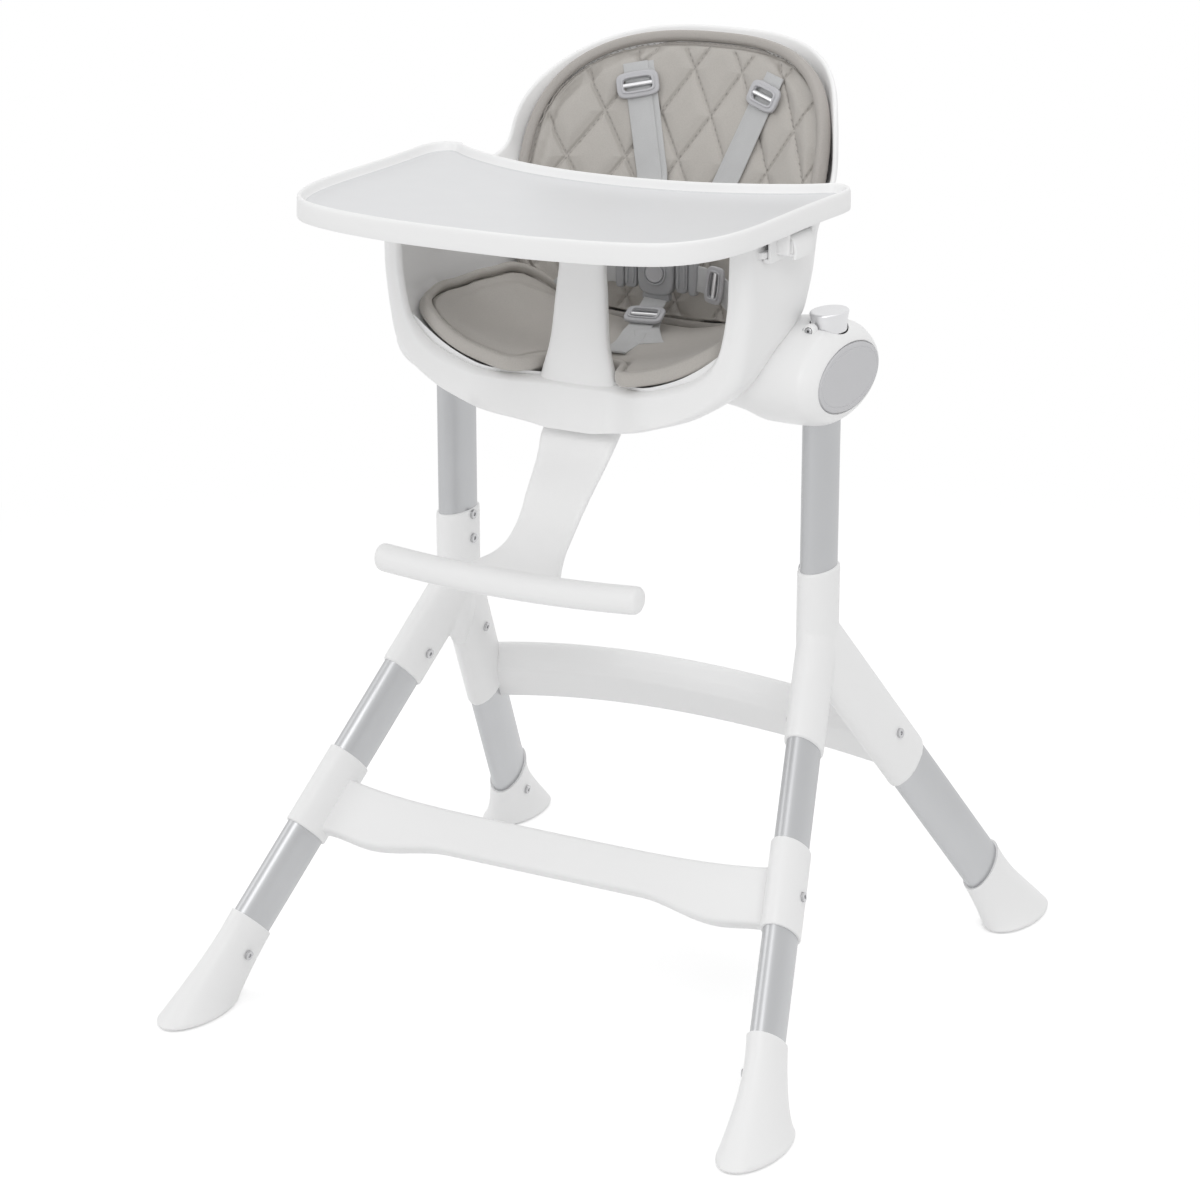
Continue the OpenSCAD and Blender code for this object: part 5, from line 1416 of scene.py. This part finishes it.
# Closed skin: the outline times a share for its front, then its back a thickness behind, swollen, then
# dipped along the quilting lines and the seam.
def backCushion():
    form = backForm
    outlineX, outlineZ = backOutline(200).T * form["narrow"]
    share = np.concatenate([np.linspace(0.02, 0.98, 30), [1.0, 1.0, 1.0], np.linspace(0.98, 0.02, 30)])
    layer = np.concatenate([np.zeros(30), [0.12, 0.5, 0.88], np.ones(30)])[:, None]
    share = share[:, None]
    x, z = share * outlineX, form["middle"] + share * outlineZ
    thin = mix(form["thickness"] - form["thin"], form["edge"], share ** 6)
    y = backY(x, z) + form["sink"] * (1 - share ** 8) + layer * thin
    skin = surfaceMesh(np.stack([x, y, z], axis=-1))
    piece = makePiece("backCushion", [skin], "cushion", "seat", ["back_pad"])
    fuse(piece, form["voxel"], form["rounds"])
    plump(piece, form["pressure"], form["cap"], (0, 1, 0))
    soften(piece, 5, 2)
    points, normal = readShape(piece)
    # quilting lines are where x / W + z / H and x / W - z / H are whole numbers
    wide, tall = form["diamond"]
    nodeX, nodeZ = form["node"]
    step = 1 / math.hypot(1 / wide, 1 / tall)
    aside, up = (points[:, 0] - nodeX) / wide, (points[:, 2] - nodeZ) / tall
    away = np.minimum(*(np.abs(f - np.round(f)) for f in (aside + up, aside - up))) * step
    # the seam runs parallel to the outline
    hoop = curve(backOutline(180), 900, closed=True) + [0, form["middle"]]
    toEdge, _ = nearest(points[:, [0, 2]], hoop)
    toEdge = np.where(backShare(points[:, 0], points[:, 2]) < 1, toEdge, 0)
    facing = ease(-normal[:, 1] * 2.5)
    quilted = ease((toEdge - form["seam"]) / 5) * facing
    dip = sum(deep * np.exp(-(away / half) ** 2) for deep, half in (form["crease"], form["puff"])) * quilted
    dip += seamDip(toEdge - form["seam"], *form["seamDip"]) * facing
    writeShape(piece, points - normal * dip[:, None])
    paintBinding(piece, toEdge < form["seam"])
    backThread(*readShape(piece), hoop)


# A crease along the seam, exp(-(d / 1.5)^2), and a step down to the bound edge beyond it.
def seamDip(fromSeam, crease, step):
    return crease * np.exp(-(fromSeam / 1.5) ** 2) + step * ease((2 - fromSeam) / 4)


# Thread along the quilting lines and the seam, laid on the nearest points of the front face.
def backThread(points, normal, hoop):
    wide, tall = backForm["diamond"]
    nodeX, nodeZ = backForm["node"]
    run = np.arange(-330, 330, threadForm["gap"])
    spots, ways = [], []
    for sign in (1, -1):
        way = unit(np.array([wide, -sign * tall]))
        for k in range(-9, 10):
            spots.append(np.array([nodeX + k * wide, nodeZ]) + run[:, None] * way)
            ways.append(np.repeat(way[None], len(run), axis=0))
    spots, ways = np.vstack(spots), np.vstack(ways)
    within = backShare(spots[:, 0], spots[:, 1], backForm["threadInset"]) < 1
    ring = curve((hoop + inwardOf(hoop) * backForm["seam"])[::6], 165, closed=True)
    spots = np.vstack([spots[within], ring])
    ways = np.vstack([ways[within], unit(np.roll(ring, -1, axis=0) - np.roll(ring, 1, axis=0))])
    front = normal[:, 1] < -0.3
    _, where = nearest(spots, points[front][:, [0, 2]], 60)
    n = normal[front][where]
    centre = np.stack([spots[:, 0], points[front][where, 1], spots[:, 1]], axis=1) + n * 0.15
    tangent = np.stack([ways[:, 0], 0 * ways[:, 0], ways[:, 1]], axis=1)
    tangent = unit(tangent - n * (tangent * n).sum(axis=1, keepdims=True))
    stitches("backStitches", centre, tangent, n, "seat")


# Closed skin: the upper face from the back edge to the front one, then a lower face a thickness under
# it, square to its slope; swollen, then dipped along the seam.
def seatCushion():
    form = seatForm
    run = form["reach"] * np.sin(np.radians(np.linspace(-88, 88, 161)))
    front = table(form["front"], np.abs(run)) + form["inset"]
    back = table(form["back"], np.abs(run)) - form["inset"]
    v = (1 - np.cos(np.linspace(0, math.pi, 40))) / 2
    x = np.repeat(run[:, None] * form["narrow"], 40, axis=1)
    y = mix(back[:, None], front[:, None], v)
    top = seatTop(x, y) - 1.5
    brim = np.maximum((2 * v[None, :] - 1) ** 8, (np.abs(x) / form["reach"]) ** 10)
    slope = 3 * (top - form["floor"]) / np.maximum(np.abs(x), 30)
    deep = mix(form["thickness"] - 1.5, form["edge"] - 1.5, brim)
    lean = deep * slope / np.sqrt(1 + slope ** 2) * np.sign(x)
    upper = np.stack([x, y, top], axis=-1)
    lower = np.stack([x + lean, y, top - deep / np.sqrt(1 + slope ** 2)], axis=-1)[:, ::-1]
    grid = np.concatenate([upper, mix(upper[:, -1:], lower[:, :1], 0.5),
                           lower, mix(lower[:, -1:], upper[:, :1], 0.5)], axis=1)
    piece = makePiece("seatCushion", [surfaceMesh(grid)], "cushion", "seat", ["seat_pad"])
    fuse(piece, form["voxel"], form["rounds"])
    plump(piece, form["pressure"], form["cap"], (0, 0, -1))
    soften(piece, 5, 2)
    points, normal = readShape(piece)
    edge = curve(seatOutline(), 420)
    edge = np.vstack([edge, edge[::-1] * [-1, 1]])
    edge = np.column_stack([edge, seatTop(edge[:, 0], edge[:, 1]) - 3])
    toEdge, _ = nearest(points, edge)
    dip = seamDip(toEdge - form["seam"], *form["seamDip"]) * ease(normal[:, 2] * 2 + 0.2)
    writeShape(piece, points - normal * dip[:, None])


# The right half of its outline, from the front's middle round to the back's.
def seatOutline():
    return np.vstack([np.array(seatForm["front"], float), np.array(seatForm["back"][-2::-1], float)])


# Its strip lies along the upper face's edge, moved in by half its width and sunk below that face.
def seatEdge():
    hoop = curve(bothHalves(seatOutline()), 520, closed=True)
    inward = inwardOf(hoop)
    x, y = (hoop + inward * seatForm["edgeHalf"][0]).T
    # slopes of the upper face, taken half a millimetre either side
    leanX = seatTop(x + 0.5, y) - seatTop(x - 0.5, y)
    leanY = seatTop(x, y + 0.5) - seatTop(x, y - 0.5)
    centre = np.stack([x, y, seatTop(x, y)], axis=1)
    face = unit(np.stack([-leanX, -leanY, np.ones_like(x)], axis=1))
    within = np.stack([inward[:, 0], inward[:, 1], leanX * inward[:, 0] + leanY * inward[:, 1]], axis=1)
    centre = centre - face * seatForm["edgeSink"]
    boundEdge("seatCushionEdge", centre, within, face, seatForm["edgeHalf"], "cushion")


backCushion()
backEdge()
seatCushion()
seatEdge()
print("cushions made")


# Harness
strapForm = {
    "width": 26, "thickness": 1.7, "tail": 1.3, "buckle": (0, 55, 728), "off": 0.9,
    # a shoulder strap lies on the cushion from high outside to lower inside (x, height)
    "lieFrom": (80, 918), "lieTo": (44, 810), "hang": [(37, 88, 52), (34, 62, 33), (34, 49.5, 21.5)],
    "under": (-1.9, -5),  # its second layer: how far behind it, and how far inwards
    # a waist strap, right side: x, y, height from the buckle's middle
    "waist": [(37, 48.5, -2), (52, 46, -2), (72, 42, -7), (90, 38, -17), (104, 35, -29)],
    # the crotch strap's first points hang from the buckle, and the rest lie on the seat cushion
    "crotch": [(0, 47, -26.5), (0, 41, -30), (1, 27, -37), (4, 6, -46), (8, -14, -48.5), (12, -34, -52.4),
               (16, -56, -52.8), (18, -76, -52.8)],
    "crotchTail": [(4, 26, -40), (10, 8, -47), (19, -8, -47.5), (29, -22, -51.5), (36, -31, -52.5)],
    # directions across the straps
    "waistAcross": (0, 0.06, 1), "crotchAcross": (1, 0.1, 0), "tailAcross": (1, 0.55, 0),
}


# A strap from bands, each given by its path, the direction across it, width and thickness.
def strapPiece(name, bands, node):
    made = [band(*each) for each in bands]
    makePiece(name, [m for m, _ in made], "strap", "seat", [node], sharp=60,
              uvs=[uv for _, uv in made])


def alike(direction, points):
    return np.repeat([direction], len(points), axis=0)


# Points given with heights from the buckle's middle, on one side or the other.
def fromBuckle(rows, s=1):
    return np.array(rows, float) * [s, 1, 1] + [0, 0, strapForm["buckle"][2]]


# Down the cushion's face, then hanging to the buckle; across it follows the face's slope sideways.
def shoulderPath(s, off=0.0, shift=0.0):
    f = np.linspace(0, 1, 6)
    (startX, startZ), (stopX, stopZ) = strapForm["lieFrom"], strapForm["lieTo"]
    x, z = s * (mix(startX, stopX, f) + shift), mix(startZ, stopZ, f)
    lie = np.stack([x, backY(x, z) - 1.6 - 1.2 * f - off, z], axis=1)
    by = np.outer([1, 0.5, 0], [shift, 0, 0]) + [0, -off, 0]
    hang = fromBuckle(np.array(strapForm["hang"]) + by, s)
    x = np.append(x, [0, 0, 0])
    return np.vstack([lie, hang]), np.stack([np.ones_like(x), backLean(x), 0 * x], axis=-1)


# Each strap follows its path with one direction across it all along, or one for each point.
def harness():
    width, thick, tail = strapForm["width"], strapForm["thickness"], strapForm["tail"]
    for s, side in sideNames.items():
        path, across = shoulderPath(s)
        under, underAcross = shoulderPath(s, *strapForm["under"])
        strapPiece("shoulderStrap_" + side,
                   [(path, across, width, thick), (under[:7], underAcross[:7], width, tail)],
                   "shoulder_strap_" + side)
        waist = fromBuckle(strapForm["waist"], s)
        strapPiece("waistStrap_" + side, [(waist, alike(strapForm["waistAcross"], waist), width, thick)],
                   "waist_strap_" + side)
    path, end = fromBuckle(strapForm["crotch"]), fromBuckle(strapForm["crotchTail"])
    strapPiece("crotchStrap", [(path, alike(strapForm["crotchAcross"], path), width, thick),
                               (end, alike(strapForm["tailAcross"], end), width, tail, 60)], "crotch_strap")


harness()
print("harness made")


# Buckle and adjusters

# A rounded plate: superellipse rings that draw in by the radius at both faces, with a dish if wanted.
# Here and below, place takes local points to the frame.
def plate(place, halfW, halfH, low, high, radius, power=3.5, count=64, dish=0.0):
    z, inset = roundedEnds(low, high, radius, 6)
    if dish:
        inset, z = np.append(inset, [radius + 0.8, radius + 1.6]), np.append(z, [high - dish, high - dish])
    q = fullTurn(count)
    x = (halfW - inset)[:, None] * signedPower(np.cos(q), 2 / power)
    y = (halfH - inset)[:, None] * signedPower(np.sin(q), 2 / power)
    return surfaceMesh(place(np.stack([x, y, z[:, None] + 0 * x], axis=-1)))


# A frame with a window: a rounded section carried round between two superellipses.
def window(place, outer, inner, low, high, power, count=72):
    q, t = fullTurn(count), fullTurn(16)
    share, rise = (1 - signedPower(np.cos(t), 0.6)) / 2, signedPower(np.sin(t), 0.6)
    loop = np.stack([signedPower(np.cos(q), 2 / power), signedPower(np.sin(q), 2 / power)], axis=-1)
    flat = mix((outer * loop)[None], (inner * loop)[None], share[:, None, None])
    z = (low + high) / 2 + rise * (high - low) / 2
    grid = np.concatenate([flat, np.repeat(z[:, None, None], count, axis=1)], axis=2)
    return surfaceMesh(place(grid), wrapRows=True)


# A way from local points to a strap's stretch between two points, at a share of it: X across, Y down
# along it, Z out of its face.
def onStrap(start, stop, across, share):
    start, stop = np.array(start, float), np.array(stop, float)
    d = unit(stop - start)
    side = unit(np.array(across, float) - d * np.dot(d, across))
    up = np.cross(side, d)
    if up[1] > 0:
        up = -up
    middle = mix(start, stop, share) + strapForm["off"] * up
    return lambda local: middle + local[..., :1] * side + local[..., 1:2] * d + local[..., 2:3] * up


# The same way, with the local points moved first.
def moved(place, *by):
    return lambda local: place(local + by)


# An adjuster's frame with a lip round its window, and the bar across it: an oval tube, r = (2.5, 2).
def adjuster(place, halfW, halfH):
    frameRing = window(place, (halfW, halfH), (halfW * 0.66, halfH * 0.50), 0.2, 4.6, 4.2)
    lip = window(place, (halfW * 0.80, halfH * 0.68), (halfW * 0.68, halfH * 0.52), 3.4, 5.8, 5.0)
    across = (np.linspace(-0.70, 0.70, 12) * halfW)[:, None]
    a = fullTurn(24)
    rod = np.stack([across + 0 * a, 2.5 * np.cos(a) + 0 * across, 2.9 + 2.0 * np.sin(a) + 0 * across],
                   axis=-1)
    return [frameRing, lip], surfaceMesh(place(rod))


adjusterForm = {
    # each: the share of its stretch of strap that it stands at, and half its frame's width and length
    "shoulder": (1.0, 22, 13.5), "waist": (0.75, 19, 11), "crotch": (0.4, 20.5, 13),
    "waistStretch": [(55, 45.5, -3), (75, 41.5, -5)],
}


def adjusters():
    # each stretch of strap: its two ends and the direction across it
    shoulders = [(*path[:2], across[0]) for path, across in map(shoulderPath, sideNames)]
    waists = [(*fromBuckle(adjusterForm["waistStretch"], s), strapForm["waistAcross"]) for s in sideNames]
    crotch = [(*fromBuckle(strapForm["crotch"][2:4]), strapForm["crotchAcross"])]
    bars = []
    for name, stretches, size, node in (("shoulderAdjusters", shoulders, "shoulder", "shoulder_adjusters"),
                                        ("waistAdjusters", waists, "waist", "waist_adjusters"),
                                        ("crotchAdjuster", crotch, "crotch", "crotch_adjuster")):
        share, halfW, halfH = adjusterForm[size]
        frames = []
        for start, stop, across in stretches:
            made, rod = adjuster(onStrap(start, stop, across, share), halfW, halfH)
            frames += made
            bars.append(rod)
        makePiece(name, frames, "grey", "seat", [node], sharp=50)
    makePiece("adjusterBars", bars, "lever", "seat", ["adjuster_bars"], sharp=50)


buckleForm = {
    # plates: half width, half height, back, front, edge radius, exponent
    "body": (20.5, 23.5, 0.5, 12.6, 3.0, 3.6), "foot": (15.5, 4.5, 2.5, 10.5, 1.8, 5.0), "footAt": -25,
    # frame round the button: outer and inner half width, back, front
    "ring": (13.2, 10.6, 10.5, 14.2),
    # on each side an outer pad and the tongue's sleeve, with where they stand; then the pad's two ribs
    "pads": [(29, (7.0, 17.5, 2.5, 10.8, 2.0, 4.5)), (41.5, (5.0, 19, 2.5, 10.8, 2.0, 4.5))],
    "ribsAt": (25.5, 32.5), "rib": (1.5, 13, 9.5, 12.4, 0.9, 4.0),
    "button": (10, 10, 7, 14.8, 1.4, 2.0), "dish": 0.5,
}


# A body with a ring round its button, the two tongues' pads and sleeves beside it, and its foot.
def buckle():
    form = buckleForm
    x, y, z = strapForm["buckle"]

    # local X sideways, Y up, Z forward
    def face(local):
        return np.stack([x + local[..., 0], y - local[..., 2], z + local[..., 1]], axis=-1)

    wide, narrow, low, high = form["ring"]
    parts = [plate(face, *form["body"]), window(face, (wide, wide), (narrow, narrow), low, high, 2.0)]
    for s in sideNames:
        parts += [plate(moved(face, s * at, -1, 0), *pad) for at, pad in form["pads"]]
        parts += [plate(moved(face, s * at, -1, 0), *form["rib"], 32) for at in form["ribsAt"]]
    parts.append(plate(moved(face, 0, form["footAt"], 0), *form["foot"]))
    makePiece("buckleBody", parts, "darkGrey", "seat",
              ["buckle_body", "buckle_tongue_left", "buckle_tongue_right"], sharp=50)
    button = plate(face, *form["button"], dish=form["dish"])
    makePiece("buckleButton", [button], "grey", "button", ["buckle_button"], sharp=40)


adjusters()
buckle()

# CAD pieces that are shown as they are
for name in ("frame_screws", "foot_pads", "lever_pins", "latch_pins", "lock_pin_left", "lock_pin_right",
             "lock_spring_left", "lock_spring_right", "buckle_spring"):
    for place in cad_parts[name].material_slots:
        place.material = finishes["rubber" if name == "foot_pads" else "steel"]
print("fittings made")
